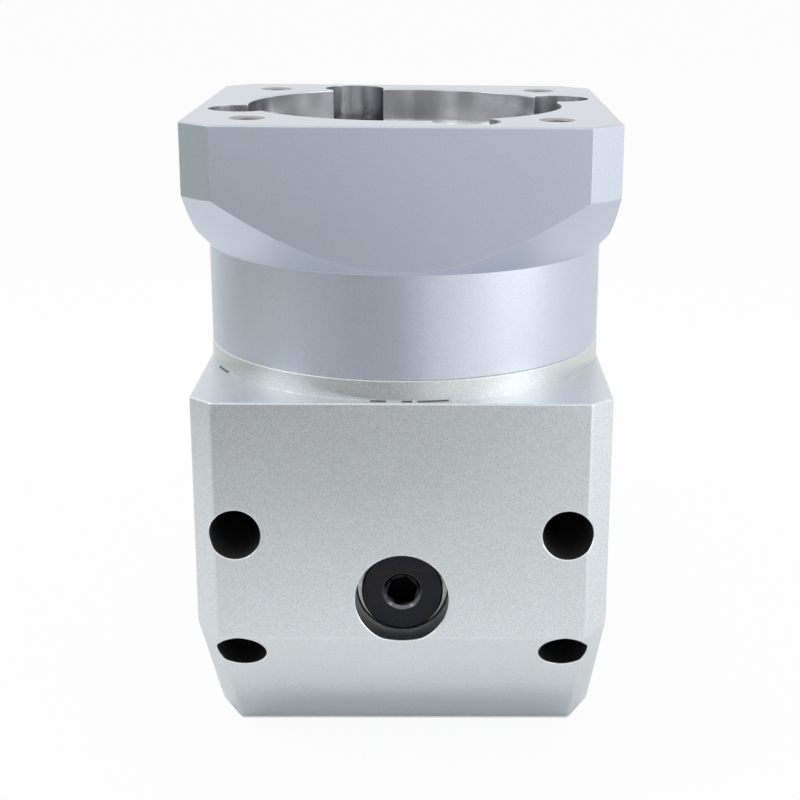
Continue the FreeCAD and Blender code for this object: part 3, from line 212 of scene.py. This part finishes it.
BLOCK_ALUMINIUM = (0.702, 0.740, 0.767)
BOLT_HOLE_PAINTED_SHADE = (0.28, 0.28, 0.29)
RECESS_PAINTED_SHADE = (0.42, 0.43, 0.44)
BRIGHT_EDGE = (0.93, 0.95, 0.96)
BOLT_HOLE_PLACE = (35.385 * MM, 0.0, 14.657 * MM)
BOLT_HOLE_RADIUS = 5.5 * MM
PLUG_RECESS_RADIUS = 10.05 * MM
BLAST_GRAIN = 0.27 * MM
BLAST_SPARKLE = 0.09
BLAST_DEPTH = 0.010 * MM
EDGE_WIDTH = 0.2 * MM
RIM_WIDTH = 0.6 * MM
RIM_REACH = 1.0 * MM
RIM_START = (0.010 * MM, 0.015 * MM)
RIM_END = (0.8 * RIM_WIDTH, 0.6 * RIM_WIDTH)
UPWARD_LEAN = (0.06, 0.22)
FRONT_HALF = (-140 * MM, -141 * MM)

block_finish = Finish("blasted_block_aluminium", BLOCK_ALUMINIUM, roughness=0.40, edge=EDGE_WIDTH)
block_finish.blasted(BLAST_GRAIN, BLAST_SPARKLE, BLAST_DEPTH)
from_bolt_hole = block_finish.from_axis("Y", BOLT_HOLE_PLACE, mirrored_about=OUTPUT_AXIS)
from_plug_axis = block_finish.from_axis("Y", OUTPUT_AXIS)
from_rim = block_finish.math(
    "MINIMUM", block_finish.math("SUBTRACT", from_bolt_hole, BOLT_HOLE_RADIUS),
    block_finish.math("SUBTRACT", from_plug_axis, PLUG_RECESS_RADIUS))
rim_rounding = block_finish.ranged(from_rim, RIM_REACH, RIM_WIDTH, EDGE_WIDTH, RIM_WIDTH)
block_finish.feed(block_finish.rounding.inputs["Radius"], rim_rounding)
in_bolt_hole = block_finish.inside(from_bolt_hole, BOLT_HOLE_RADIUS)
# Painted shade: the walls of the bolt holes are painted dark grey.
block_finish.patch(in_bolt_hole, BOLT_HOLE_PAINTED_SHADE, roughness=0.45)
in_recess = block_finish.inside(from_plug_axis, PLUG_RECESS_RADIUS)
# Painted shade: the wall of the plug recess is painted darker than the blasted block.
block_finish.patch(in_recess, RECESS_PAINTED_SHADE, roughness=0.32)
block_finish.worn_edges(BRIGHT_EDGE, roughness=0.28, strength=0.55)
# Painted highlight: a bright, glossy line on the front half of the hole and recess rims, only where the
# rounded rim leans upward, so on their lower rims.
on_rim = block_finish.both(
    block_finish.ranged(from_rim, *RIM_START), block_finish.ranged(from_rim, *RIM_END))
toward_front = block_finish.ranged(block_finish.along("Y"), *FRONT_HALF)
flat_normal = block_finish.add("NewGeometry", {}).outputs["Normal"]
leaning = block_finish.vector("SUBTRACT", block_finish.rounding.outputs[0], flat_normal).outputs[0]
leaning = block_finish.add("SeparateXYZ", {0: leaning}).outputs["Z"]
painted_rim_highlight = block_finish.both(on_rim, block_finish.ranged(leaning, *UPWARD_LEAN))
block_finish.patch(block_finish.both(painted_rim_highlight, toward_front), BRIGHT_EDGE, roughness=0.16)
block_finish.close("right_angle_block")

# Access plug and its washer: a black oxide steel screw plug with a collar and a hex socket.
# It closes the access hole in the front of the block and is tightened onto a soft pressed washer.
# The other screws of the gearbox have the same black oxide.
OXIDE_BLACK = (0.024, 0.025, 0.031)
OXIDE_BROWN = (0.034, 0.027, 0.024)
OXIDE_EDGE = (0.26, 0.235, 0.21)
SINK_BLACK = (0.020, 0.020, 0.024)
CONE_SHINE = (0.15, 0.15, 0.175)
SOCKET_PAINTED_SHADE = (0.004, 0.004, 0.004)
PLUG_FRONT = -163.45 * MM
SINK_RADIUS = 4.2 * MM
SINK_DEPTH = 0.7 * MM
SINK_START = (0.02 * MM, 0.06 * MM)
CONE_END = (SINK_DEPTH - 0.02 * MM, SINK_DEPTH - 0.06 * MM)
SOCKET_START = (SINK_DEPTH + 0.05 * MM, SINK_DEPTH + 0.15 * MM)


def black_oxide(name):
    finish = Finish(name, OXIDE_BLACK, roughness=0.34, edge=0.15 * MM)
    finish.grained(0.4 * MM, amount=0.12, depth=0.003 * MM, lump=2.5 * MM, gloss=0.04)
    brown = finish.ranged(finish.noise(9 * MM), low=0.45, high=0.65, to_high=0.5)
    finish.patch(brown, OXIDE_BROWN, roughness=0.38)
    finish.worn_edges(OXIDE_EDGE, roughness=0.30, strength=0.6)
    return finish


plug_finish = black_oxide("black_oxide_plug")
depth = plug_finish.math("SUBTRACT", plug_finish.along("Y"), PLUG_FRONT)
in_sink = plug_finish.inside(plug_finish.from_axis("Y", OUTPUT_AXIS), SINK_RADIUS)
in_sink = plug_finish.both(in_sink, plug_finish.ranged(depth, *SINK_START))
plug_finish.patch(in_sink, SINK_BLACK, roughness=0.34)
on_cone = plug_finish.both(in_sink, plug_finish.ranged(depth, *CONE_END))
plug_finish.patch(on_cone, CONE_SHINE, roughness=0.14)
# Painted shade: the hex socket below the countersink is painted near black.
in_socket = plug_finish.both(in_sink, plug_finish.ranged(depth, *SOCKET_START))
plug_finish.patch(in_socket, SOCKET_PAINTED_SHADE, roughness=0.55)
plug_finish.close("access_plug")
black_oxide("black_oxide_screws").close(
    "input_housing_screws", "housing_bolts", "clamp_screw", "gear_screw", "clamp_access_plug")

WASHER_ALUMINIUM = (0.72, 0.73, 0.74)
washer_finish = Finish("pressed_washer_aluminium", WASHER_ALUMINIUM, roughness=0.34, edge=0.12 * MM)
washer_finish.grained(0.5 * MM, amount=0.10, depth=0.01 * MM, lump=1.5 * MM, gloss=0.08)
washer_finish.worn_edges(BRIGHT_EDGE, roughness=0.22, strength=0.8)
washer_finish.close("plug_washer")

# Bearings: races of hardened chrome steel, ground and polished on every face.
# The input pair stands on the motor axis, and the others lie on the output axis.
BEARINGS = {
    "Z": ("lower_input_bearing", "upper_input_bearing"),
    "Y": ("front_bevel_bearing", "rear_bevel_bearing", "inner_output_bearing", "outer_output_bearing"),
}
RACE_STEEL = (0.70, 0.71, 0.72)
STEEL_EDGE = (0.86, 0.86, 0.87)
COARSE_LINE = 0.9 * MM


def turned_steel(name, axis, colour, pieces, roughness, line, depth):
    """Steel with fine lathe or grinder lines round an axis."""
    finish = Finish(name, colour, roughness, edge=EDGE_WIDTH)
    lines = finish.lathe_lines(axis, line)
    finish.mottle(lines, amount=0.06)
    finish.mottle(finish.lathe_lines(axis, COARSE_LINE), amount=0.04)
    finish.vary_roughness(lines, amount=0.05)
    finish.relief(lines, depth)
    finish.worn_edges(STEEL_EDGE, roughness=0.2, strength=0.7)
    finish.close(*pieces)


for axis, bearings in BEARINGS.items():
    races = [bearing + race for bearing in bearings for race in ("_outer_race", "_inner_race")]
    name = "ground_bearing_steel_" + axis.lower()
    turned_steel(name, axis, RACE_STEEL, races, roughness=0.16, line=0.10 * MM, depth=0.003 * MM)

# Bevel pair with its key, and planetary gears: case hardened steel, dark from the furnace.
# The teeth are ground, so their edges are bright.
STAGES = ("first", "second")
PLANETS = (1, 2, 3)
GEARS = ["bevel_pinion", "bevel_gear", "bevel_key", "sun_shaft", "second_sun"]
GEARS += [stage + "_planet_%d" % planet for stage in STAGES for planet in PLANETS]
GEAR_STEEL = (0.40, 0.40, 0.41)
GROUND_EDGE = (0.75, 0.75, 0.76)
gear_finish = Finish("hardened_gear_steel", GEAR_STEEL, roughness=0.34, edge=EDGE_WIDTH)
gear_finish.grained(1.4 * MM, amount=0.10, depth=0.008 * MM, lump=0.6 * MM, gloss=0.07, detail=4.0)
gear_finish.worn_edges(GROUND_EDGE, roughness=0.2, strength=0.9)
gear_finish.close(*GEARS)

# Clamp hub and collar: the steel sleeve that grips the motor shaft, and the split collar that closes it.
# Both are turned on the lathe and left bright under a film of oil.
HUB_STEEL = (0.62, 0.63, 0.64)
HUB_PIECES = ("clamp_hub", "clamp_collar")
turned_steel("turned_hub_steel", "Z", HUB_STEEL, HUB_PIECES,
             roughness=0.24, line=0.14 * MM, depth=0.006 * MM)

# Seals: moulded black nitrile rubber rings with a thin lip on the turning part.
# The rubber is matt, with a fine moulding grain.
SEAL_RUBBER = (0.024, 0.024, 0.025)
seal_finish = Finish("moulded_seal_rubber", SEAL_RUBBER, roughness=0.62, edge=EDGE_WIDTH, metallic=0.0)
seal_finish.grained(0.25 * MM, amount=0.25, depth=0.02 * MM, lump=3 * MM, gloss=0.08)
seal_finish.close("input_seal", "output_seal")

# Adapter ring: a thin turned aluminium ring that centres the input housing on the block.
# It is blasted together with the block, so it has the same sparkle over faint lathe lines.
ADAPTER_ALUMINIUM = (0.655, 0.685, 0.690)
ring_finish = Finish("blasted_ring_aluminium", ADAPTER_ALUMINIUM, roughness=0.40, edge=EDGE_WIDTH)
ring_finish.mottle(ring_finish.lathe_lines("Z", 0.35 * MM), amount=0.015)
ring_finish.blasted(BLAST_GRAIN, BLAST_SPARKLE, BLAST_DEPTH)
ring_finish.worn_edges(BRIGHT_EDGE, roughness=0.22, strength=0.8)
ring_finish.close("adapter_ring")

# Painted gap shadow: a thin dark grey bead laid along the joint where the adapter ring stands on the block,
# standing in for the shadow in that gap.
# It shows only in places. Each run is a piece of one ring, closed at its ends.
BEAD_CIRCLE = 44.55 * MM
BEAD_RADIUS = 0.17 * MM
BEAD_HEIGHT = 43.85 * MM
BEAD_RUNS = (
    (199.5, 201), (203, 205), (206, 209), (213, 214), (261, 265.5), (267, 268.5),
    (270, 272.5), (274.5, 282), (351, 353), (20, 31), (96, 110), (140, 146))
BEAD_STEPS = 1440
BEAD_SIDES = 10
BEAD_SMOOTHING = math.radians(50)
GAP_SHADOW_GREY = (0.105, 0.100, 0.092)


def close_and_smooth(smoothing):
    """Closes the open ends of the mesh in edit mode, turns its faces outwards and smooths its rounds."""
    bpy.ops.mesh.select_all(action="SELECT")
    bpy.ops.mesh.fill_holes(sides=0)
    bpy.ops.mesh.normals_make_consistent(inside=False)
    bpy.ops.object.mode_set(mode="OBJECT")
    bpy.ops.object.shade_smooth_by_angle(angle=smoothing)


bpy.ops.object.select_all(action="DESELECT")
bpy.ops.mesh.primitive_torus_add(
    major_segments=BEAD_STEPS, minor_segments=BEAD_SIDES, major_radius=BEAD_CIRCLE,
    minor_radius=BEAD_RADIUS, location=(0.0, MOTOR_AXIS[1], BEAD_HEIGHT))
bead = bpy.context.active_object
bead.name = "painted_gap_shadow_bead"
bpy.ops.object.transform_apply(location=True, rotation=True, scale=True)
bpy.ops.object.mode_set(mode="EDIT")
bpy.ops.mesh.select_all(action="DESELECT")
bpy.ops.object.mode_set(mode="OBJECT")
for face in bead.data.polygons:
    angle = math.degrees(math.atan2(face.center.y - MOTOR_AXIS[1], face.center.x)) % 360
    face.select = not any(start < angle < end for start, end in BEAD_RUNS)
bpy.ops.object.mode_set(mode="EDIT")
bpy.ops.mesh.delete(type="FACE")
close_and_smooth(BEAD_SMOOTHING)
gap_shadow_finish = Finish("grey_painted_gap_shadow", GAP_SHADOW_GREY, roughness=0.55, edge=0.05 * MM, metallic=0.0)
gap_shadow_finish.mottle(gap_shadow_finish.noise(0.6 * MM, detail=3.0), amount=0.35)
gap_shadow_finish.vary_roughness(gap_shadow_finish.noise(0.4 * MM), amount=0.1)
gap_shadow_finish.relief(gap_shadow_finish.noise(0.5 * MM), depth=0.05 * MM)
bead.data.materials.append(gap_shadow_finish.close())
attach(bead, "housing")

# Input housing: turned from square bar, so the round neck flares into the square motor flange.
# The outside is fine blasted and grey anodised; the pilot bore, the pockets and the holes are bare, and the
# pocket and hole walls are painted darker as painted shade.
# The output housing is made the same way, with its pilot bare.
ANODISED_GREY = (0.594, 0.640, 0.714)
TOP_GREY = (0.600, 0.635, 0.680)
BORE_ALUMINIUM = (0.80, 0.805, 0.825)
PILOT_ALUMINIUM = (0.62, 0.63, 0.645)
POCKET_PAINTED_SHADE = (0.58, 0.585, 0.61)
MOTOR_HOLE_PAINTED_SHADE = (0.40, 0.385, 0.37)
ANODISED_EDGE = (0.90, 0.93, 0.97)
FINE_GRAIN = 0.22 * MM
FLANGE_TOP = 100.6 * MM
TOP_START = (FLANGE_TOP - 0.10 * MM, FLANGE_TOP - 0.04 * MM)
MOTOR_PILOT_RADIUS = 35.0 * MM
POCKET_CIRCLE = 37.6 * MM
POCKET_ANGLE = math.radians(20.4)
POCKET_RADIUS = 7.1 * MM
POCKET_FLOOR = 86.0 * MM
POCKET_START = (POCKET_FLOOR - 0.5 * MM, POCKET_FLOOR - 0.3 * MM)
MOTOR_HOLE_OFFSET = 31.82 * MM
MOTOR_HOLE_PLACE = (MOTOR_HOLE_OFFSET, MOTOR_HOLE_OFFSET, 0.0)
MOTOR_HOLE_RIM = 3.78 * MM
QUARTER = math.pi / 2
CUT_LINE = 0.14 * MM
PAINTED_FAN_WIDTH = 0.3
PAINTED_FAN_START = (7.7, 2.2, 0.0)


def anodised_housing(name):
    finish = Finish(name, ANODISED_GREY, roughness=0.42, edge=EDGE_WIDTH)
    finish.blasted(FINE_GRAIN, amount=0.06, depth=0.004 * MM)
    return finish


def turned_bare_with_painted_fans(finish, axis, colour, amount):
    """Bright turned aluminium, with lathe lines, and light and dark fans round the axis painted into the
    colour as painted reflection.
    """
    colour = finish.toned(colour, finish.lathe_lines(axis, CUT_LINE), amount=0.05)
    outward = finish.vector("SUBTRACT", finish.place, AXES[axis]).outputs[0]
    outward = finish.vector("MULTIPLY", outward, ACROSS[axis]).outputs[0]
    outward = finish.vector("NORMALIZE", outward).outputs[0]
    outward = finish.vector("ADD", outward, PAINTED_FAN_START).outputs[0]
    return finish.toned(colour, finish.noise(PAINTED_FAN_WIDTH, place=outward), amount)


input_finish = anodised_housing("anodised_input_housing")
from_motor_axis = input_finish.from_axis("Z", MOTOR_AXIS)
centred = input_finish.vector("SUBTRACT", input_finish.place, MOTOR_AXIS).outputs[0]
split = input_finish.add("SeparateXYZ", {0: centred})
turn = input_finish.math("ARCTAN2", split.outputs["Y"], split.outputs["X"])
turn = input_finish.math("SUBTRACT", turn, POCKET_ANGLE - QUARTER / 2)
turn = input_finish.math("FLOORED_MODULO", turn, QUARTER)
turn = input_finish.math("SUBTRACT", turn, QUARTER / 2)
ahead = input_finish.math("MULTIPLY", from_motor_axis, input_finish.math("COSINE", turn))
ahead = input_finish.math("SUBTRACT", ahead, POCKET_CIRCLE)
aside = input_finish.math("MULTIPLY", from_motor_axis, input_finish.math("SINE", turn))
from_pocket = input_finish.add("CombineXYZ", {"X": ahead, "Y": aside}).outputs[0]
from_pocket = input_finish.vector("LENGTH", from_pocket).outputs["Value"]
above_floor = input_finish.ranged(split.outputs["Z"], *POCKET_START)
in_pocket = input_finish.both(above_floor, input_finish.inside(from_pocket, POCKET_RADIUS))
from_motor_hole = input_finish.from_axis("Z", MOTOR_HOLE_PLACE, mirrored_about=MOTOR_AXIS)
in_motor_hole = input_finish.both(above_floor, input_finish.inside(from_motor_hole, MOTOR_HOLE_RIM))
on_top = input_finish.ranged(split.outputs["Z"], *TOP_START)
input_finish.patch(on_top, TOP_GREY, roughness=0.34)
# Painted reflection: the bore's colour carries light and dark fans, placed so that one side of the bore is
# lighter and its back darker.
bore_lines_and_painted_fans = turned_bare_with_painted_fans(input_finish, "Z", BORE_ALUMINIUM, amount=0.23)
in_bore = input_finish.inside(from_motor_axis, MOTOR_PILOT_RADIUS)
input_finish.patch(in_bore, bore_lines_and_painted_fans, roughness=0.18)
# Painted shade: the pocket and motor hole walls are painted darker than the bare bore.
input_finish.patch(in_pocket, POCKET_PAINTED_SHADE, roughness=0.22)
input_finish.patch(in_motor_hole, MOTOR_HOLE_PAINTED_SHADE, roughness=0.38)
input_finish.worn_edges(ANODISED_EDGE, roughness=0.28, strength=0.3)
input_finish.close("input_housing")

OUTPUT_PILOT_RADIUS = 40.0 * MM
PILOT_START = (0.05 * MM, 0.15 * MM)
output_finish = anodised_housing("anodised_output_housing")
from_output_axis = output_finish.from_axis("Y", OUTPUT_AXIS)
past_face = output_finish.ranged(output_finish.along("Y"), *PILOT_START)
on_pilot = output_finish.both(output_finish.inside(from_output_axis, OUTPUT_PILOT_RADIUS), past_face)
# The pilot carries the same painted reflection fans, fainter.
pilot_lines_and_painted_fans = turned_bare_with_painted_fans(output_finish, "Y", PILOT_ALUMINIUM, amount=0.08)
output_finish.patch(on_pilot, pilot_lines_and_painted_fans, roughness=0.26)
output_finish.worn_edges(ANODISED_EDGE, roughness=0.28, strength=0.45)
output_finish.close("output_housing")

# Bearing sleeve, retaining rings and gear washer: a turned steel cup carries the bevel shaft's bearings.
# Spring steel rings snap into grooves in the sleeve and on the shaft, and the washer holds the bevel gear.
SLEEVE_STEEL = (0.54, 0.55, 0.56)
SLEEVE_PIECES = ("bearing_sleeve", "sleeve_retaining_ring", "shaft_retaining_ring", "gear_washer")
turned_steel("turned_sleeve_steel", "Y", SLEEVE_STEEL, SLEEVE_PIECES,
             roughness=0.30, line=0.16 * MM, depth=0.008 * MM)

# Ring gear: one steel ring with internal teeth for both planetary stages.
# Its outside is the round body of the gearbox, ground in fine rings.
RING_STEEL = (0.58, 0.59, 0.60)
turned_steel("ground_ring_steel", "Y", RING_STEEL, ["ring_gear"],
             roughness=0.27, line=0.16 * MM, depth=0.006 * MM)

# Planet carriers, pins and output shaft: turned and milled steel, ground on the bearing seats.
# The pins are pressed into the carriers, and the planets run on them on bronze bushes.
CARRIER_STEEL = (0.48, 0.48, 0.49)
SHAFT_STEEL = (0.62, 0.62, 0.63)
SHAFT_PIECES = ("output_shaft", "first_planet_pins", "second_planet_pins")
BUSH_BRONZE = (0.66, 0.46, 0.22)
turned_steel("milled_carrier_steel", "Y", CARRIER_STEEL, ["first_carrier"],
             roughness=0.30, line=0.20 * MM, depth=0.008 * MM)
turned_steel("ground_shaft_steel", "Y", SHAFT_STEEL, SHAFT_PIECES,
             roughness=0.20, line=0.12 * MM, depth=0.004 * MM)
bush_finish = Finish("bored_bush_bronze", BUSH_BRONZE, roughness=0.33, edge=EDGE_WIDTH)
bush_finish.grained(0.6 * MM, amount=0.12, depth=0.01 * MM, lump=1.5 * MM, gloss=0.08)
bush_finish.close(*[stage + "_bush_%d" % planet for stage in STAGES for planet in PLANETS])

# Tapped threads: M8 threads in the four motor holes, and one in the end of the output shaft.
# A tap leaves a sharp helical ridge, bright from the cut. One is modelled and copied into each hole.
THREAD_PITCH = 1.25 * MM
THREAD_TURNS = 11
THREAD_STEPS = 40
THREAD_CREST = 3.14 * MM
THREAD_ROOT = 3.43 * MM
THREAD_MIDDLE = (THREAD_CREST + THREAD_ROOT) / 2
THREAD_ROOT_WIDTH = 1.0 * MM
CREST_SHARE = 0.2
MERGE_DISTANCE = 0.001 * MM
THREAD_SMOOTHING = math.radians(25)
MOTOR_THREAD_START = 85.9 * MM
SHAFT_THREAD_PLACE = (0.0, 29.5 * MM, 0.0)
TAPPED_ALUMINIUM = (0.42, 0.41, 0.40)
TAPPED_STEEL = (0.46, 0.46, 0.47)

bpy.ops.object.select_all(action="DESELECT")
bpy.ops.mesh.primitive_plane_add(
    size=1.0, location=(THREAD_MIDDLE, 0.0, 0.0), rotation=(QUARTER, 0.0, 0.0))
ridge = bpy.context.active_object
ridge.name = "tapped_ridge"
ridge.scale = (THREAD_ROOT - THREAD_CREST, THREAD_ROOT_WIDTH, 1.0)
bpy.ops.object.transform_apply(location=True, rotation=True, scale=True)
for vertex in ridge.data.vertices:
    vertex.select = vertex.co.x < THREAD_MIDDLE
for edge in ridge.data.edges:
    edge.select = all(ridge.data.vertices[n].select for n in edge.vertices)
for face in ridge.data.polygons:
    face.select = False
bpy.ops.object.mode_set(mode="EDIT")
bpy.ops.transform.resize(value=(1.0, 1.0, CREST_SHARE), center_override=(THREAD_CREST, 0.0, 0.0))
bpy.ops.mesh.select_all(action="SELECT")
bpy.ops.mesh.delete(type="ONLY_FACE")
bpy.ops.object.mode_set(mode="OBJECT")
helix = ridge.modifiers.new("helix", "SCREW")
helix.screw_offset = THREAD_PITCH
helix.iterations = THREAD_TURNS
helix.steps = THREAD_STEPS
helix.render_steps = THREAD_STEPS
bpy.ops.object.modifier_apply(modifier="helix")
bpy.ops.object.mode_set(mode="EDIT")
bpy.ops.mesh.select_all(action="SELECT")
bpy.ops.mesh.remove_doubles(threshold=MERGE_DISTANCE)
close_and_smooth(THREAD_SMOOTHING)


def tapped(name, colour):
    finish = Finish(name, colour, roughness=0.30, edge=0.05 * MM)
    finish.grained(0.3 * MM, amount=0.12, depth=0.006 * MM, lump=0.8 * MM, gloss=0.08)
    return finish.close()


def thread_copy(name, place, lean, finish, body):
    """A copy of the ridge in one hole, leaned over where the hole lies along the output axis."""
    bpy.ops.object.select_all(action="DESELECT")
    copy = bpy.data.objects.new(name, ridge.data.copy())
    bpy.context.scene.collection.objects.link(copy)
    copy.location = place
    copy.rotation_euler = (lean, 0.0, 0.0)
    copy.select_set(True)
    bpy.context.view_layer.objects.active = copy
    bpy.ops.object.transform_apply(location=True, rotation=True, scale=True)
    copy.data.materials.clear()
    copy.data.materials.append(finish)
    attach(copy, body)


motor_thread_finish = tapped("tapped_flange_aluminium", TAPPED_ALUMINIUM)
shaft_thread_finish = tapped("tapped_shaft_steel", TAPPED_STEEL)
for n, (side, end) in enumerate([(-1, -1), (-1, 1), (1, -1), (1, 1)], start=1):
    place = (side * MOTOR_HOLE_OFFSET, MOTOR_AXIS[1] + end * MOTOR_HOLE_OFFSET, MOTOR_THREAD_START)
    thread_copy("motor_thread_%d" % n, place, 0.0, motor_thread_finish, "housing")
thread_copy("shaft_thread", SHAFT_THREAD_PLACE, -QUARTER, shaft_thread_finish,
            "output_rotor")
bpy.data.objects.remove(ridge)

# Floor: a plain white table top that fades into the white room behind it.
# The camera and the metal see it almost white, and it keeps the soft shadow of the gearbox.
WHITE = (1.0, 1.0, 1.0, 1.0)
TABLE_WHITE = (0.92, 0.92, 0.92, 1.0)
MATT = 0.9
FLOOR_SIZE = 12.0
FLOOR_Z = cad_box[0][2]
FLOOR_GLOW = 0.92
FLOOR_SHEEN = 0.76


def show_white(tree, plain, white, by_camera, by_metal, output):
    """Mixes white in by the share that the camera, a reflection or a clear piece sees; light sees none."""
    path = tree.nodes.new("ShaderNodeLightPath")
    rays = {"Is Camera Ray": by_camera, "Is Glossy Ray": by_metal, "Is Transmission Ray": by_metal}
    share = None
    for ray, amount in rays.items():
        more = tree.nodes.new("ShaderNodeMath")
        more.operation = "MULTIPLY_ADD"
        tree.links.new(path.outputs[ray], more.inputs[0])
        more.inputs[1].default_value = amount
        more.inputs[2].default_value = 0.0
        if share:
            tree.links.new(share, more.inputs[2])
        share = more.outputs[0]
    blend = tree.nodes.new("ShaderNodeMixShader")
    tree.links.new(share, blend.inputs[0])
    tree.links.new(plain.outputs[0], blend.inputs[1])
    tree.links.new(white.outputs[0], blend.inputs[2])
    tree.links.new(blend.outputs[0], tree.nodes[output].inputs["Surface"])


bpy.ops.object.select_all(action="DESELECT")
bpy.ops.mesh.primitive_plane_add(size=FLOOR_SIZE, location=(0.0, MOTOR_AXIS[1], FLOOR_Z))
floor = bpy.context.active_object
floor.name = "floor"
bpy.ops.object.transform_apply(location=True, rotation=False, scale=False)
floor_finish = bpy.data.materials.new("white_table")
floor_finish.use_nodes = True
table = floor_finish.node_tree.nodes["Principled BSDF"]
table.inputs["Base Color"].default_value = TABLE_WHITE
table.inputs["Roughness"].default_value = MATT
glow = floor_finish.node_tree.nodes.new("ShaderNodeEmission")
glow.inputs["Color"].default_value = WHITE
show_white(floor_finish.node_tree, table, glow, FLOOR_GLOW, FLOOR_SHEEN, "Material Output")
floor.data.materials.append(floor_finish)

# Studio: a white room, with soft lamps at the right, at the left and overhead.
# Cards in front, at the left and at the foot keep the metal from going flat; the camera doesn't see them.
ROOM_LIGHT = 0.6
LAMP_AIM = Vector((0.0, MOTOR_AXIS[1], 20 * MM))
DARK_CARD = (0.136, 0.142, 0.148)
GREEN_CARD = (0.385, 0.435, 0.380)
WHITE_CARD = (0.90, 0.90, 0.90)
FLAT = (0.0, 0.0, 0.0)
UPRIGHT = (0.0, QUARTER, 0.0)

room = bpy.data.worlds.new("white_room")
bpy.context.scene.world = room
room.use_nodes = True
dim = room.node_tree.nodes["Background"]
dim.inputs["Color"].default_value = WHITE
dim.inputs["Strength"].default_value = ROOM_LIGHT
bright = room.node_tree.nodes.new("ShaderNodeBackground")
bright.inputs["Color"].default_value = WHITE
bright.inputs["Strength"].default_value = 1.0
show_white(room.node_tree, dim, bright, 1.0, 1.0, "World Output")


def soft_lamp(name, place, size, power, in_metal=True):
    lamp = bpy.data.lights.new(name, "AREA")
    lamp.shape = "RECTANGLE"
    lamp.size, lamp.size_y = size
    lamp.energy = power
    holder = bpy.data.objects.new(name, lamp)
    bpy.context.scene.collection.objects.link(holder)
    holder.location = place
    holder.rotation_euler = (LAMP_AIM - holder.location).to_track_quat("-Z", "Y").to_euler()
    holder.visible_glossy = in_metal


soft_lamp("right_lamp", place=(0.80, -0.50, 0.25), size=(0.6, 0.7), power=2.4)
soft_lamp("left_lamp", place=(-0.85, -0.35, 0.55), size=(0.5, 0.7), power=2.0)
soft_lamp("top_lamp", place=(0.0, 0.10, 1.05), size=(0.9, 0.9), power=3.5, in_metal=False)


def reflection_card(name, colour, lean, place, size):
    """A flat card in the room that only reflections see."""
    bpy.ops.object.select_all(action="DESELECT")
    bpy.ops.mesh.primitive_plane_add(size=1.0, location=place, rotation=lean)
    card = bpy.context.active_object
    card.name = name
    card.scale = (*size, 1.0)
    bpy.ops.object.transform_apply(location=True, rotation=True, scale=True)
    finish = bpy.data.materials.new(name)
    finish.use_nodes = True
    paint = finish.node_tree.nodes["Principled BSDF"]
    paint.inputs["Base Color"].default_value = (*colour, 1.0)
    paint.inputs["Roughness"].default_value = MATT
    card.data.materials.append(finish)
    card.visible_camera = False
    card.visible_diffuse = False
    card.visible_shadow = False


reflection_card("foot_card", WHITE_CARD, FLAT,
                place=(0.0, -0.134, FLOOR_Z + 1 * MM), size=(0.14, 0.014))
reflection_card("front_card", DARK_CARD, FLAT,
                place=(-0.7175, -1.215, FLOOR_Z + 2 * MM), size=(1.565, 1.77))
reflection_card("left_table_card", GREEN_CARD, FLAT,
                place=(-0.81, -0.125, FLOOR_Z + 3 * MM), size=(0.98, 0.75))
reflection_card("left_card", GREEN_CARD, UPRIGHT,
                place=(-1.2, -0.35, 0.30), size=(0.7, 1.3))

# Camera: in front of the gearbox and a little above, where the photograph was taken from.
# Its lens and place were fitted to the corners of the block and of the motor flange.
# The small shift is there because the photograph is cropped off its centre.
SENSOR_WIDTH = 36.0
LENS = 71.856
LENS_SHIFT = -0.08
CAMERA_PLACE = (6.935 * MM, -484.663 * MM, 137.292 * MM)
CAMERA_TURN = (73.704, -0.513, -0.934)
camera = bpy.data.cameras.new("camera")
camera.sensor_width = SENSOR_WIDTH
camera.lens = LENS
camera.shift_x = LENS_SHIFT
tripod = bpy.data.objects.new("camera", camera)
bpy.context.scene.collection.objects.link(tripod)
tripod.location = CAMERA_PLACE
tripod.rotation_euler = [math.radians(angle) for angle in CAMERA_TURN]
bpy.context.scene.camera = tripod
bpy.context.scene.view_settings.view_transform = "Standard"
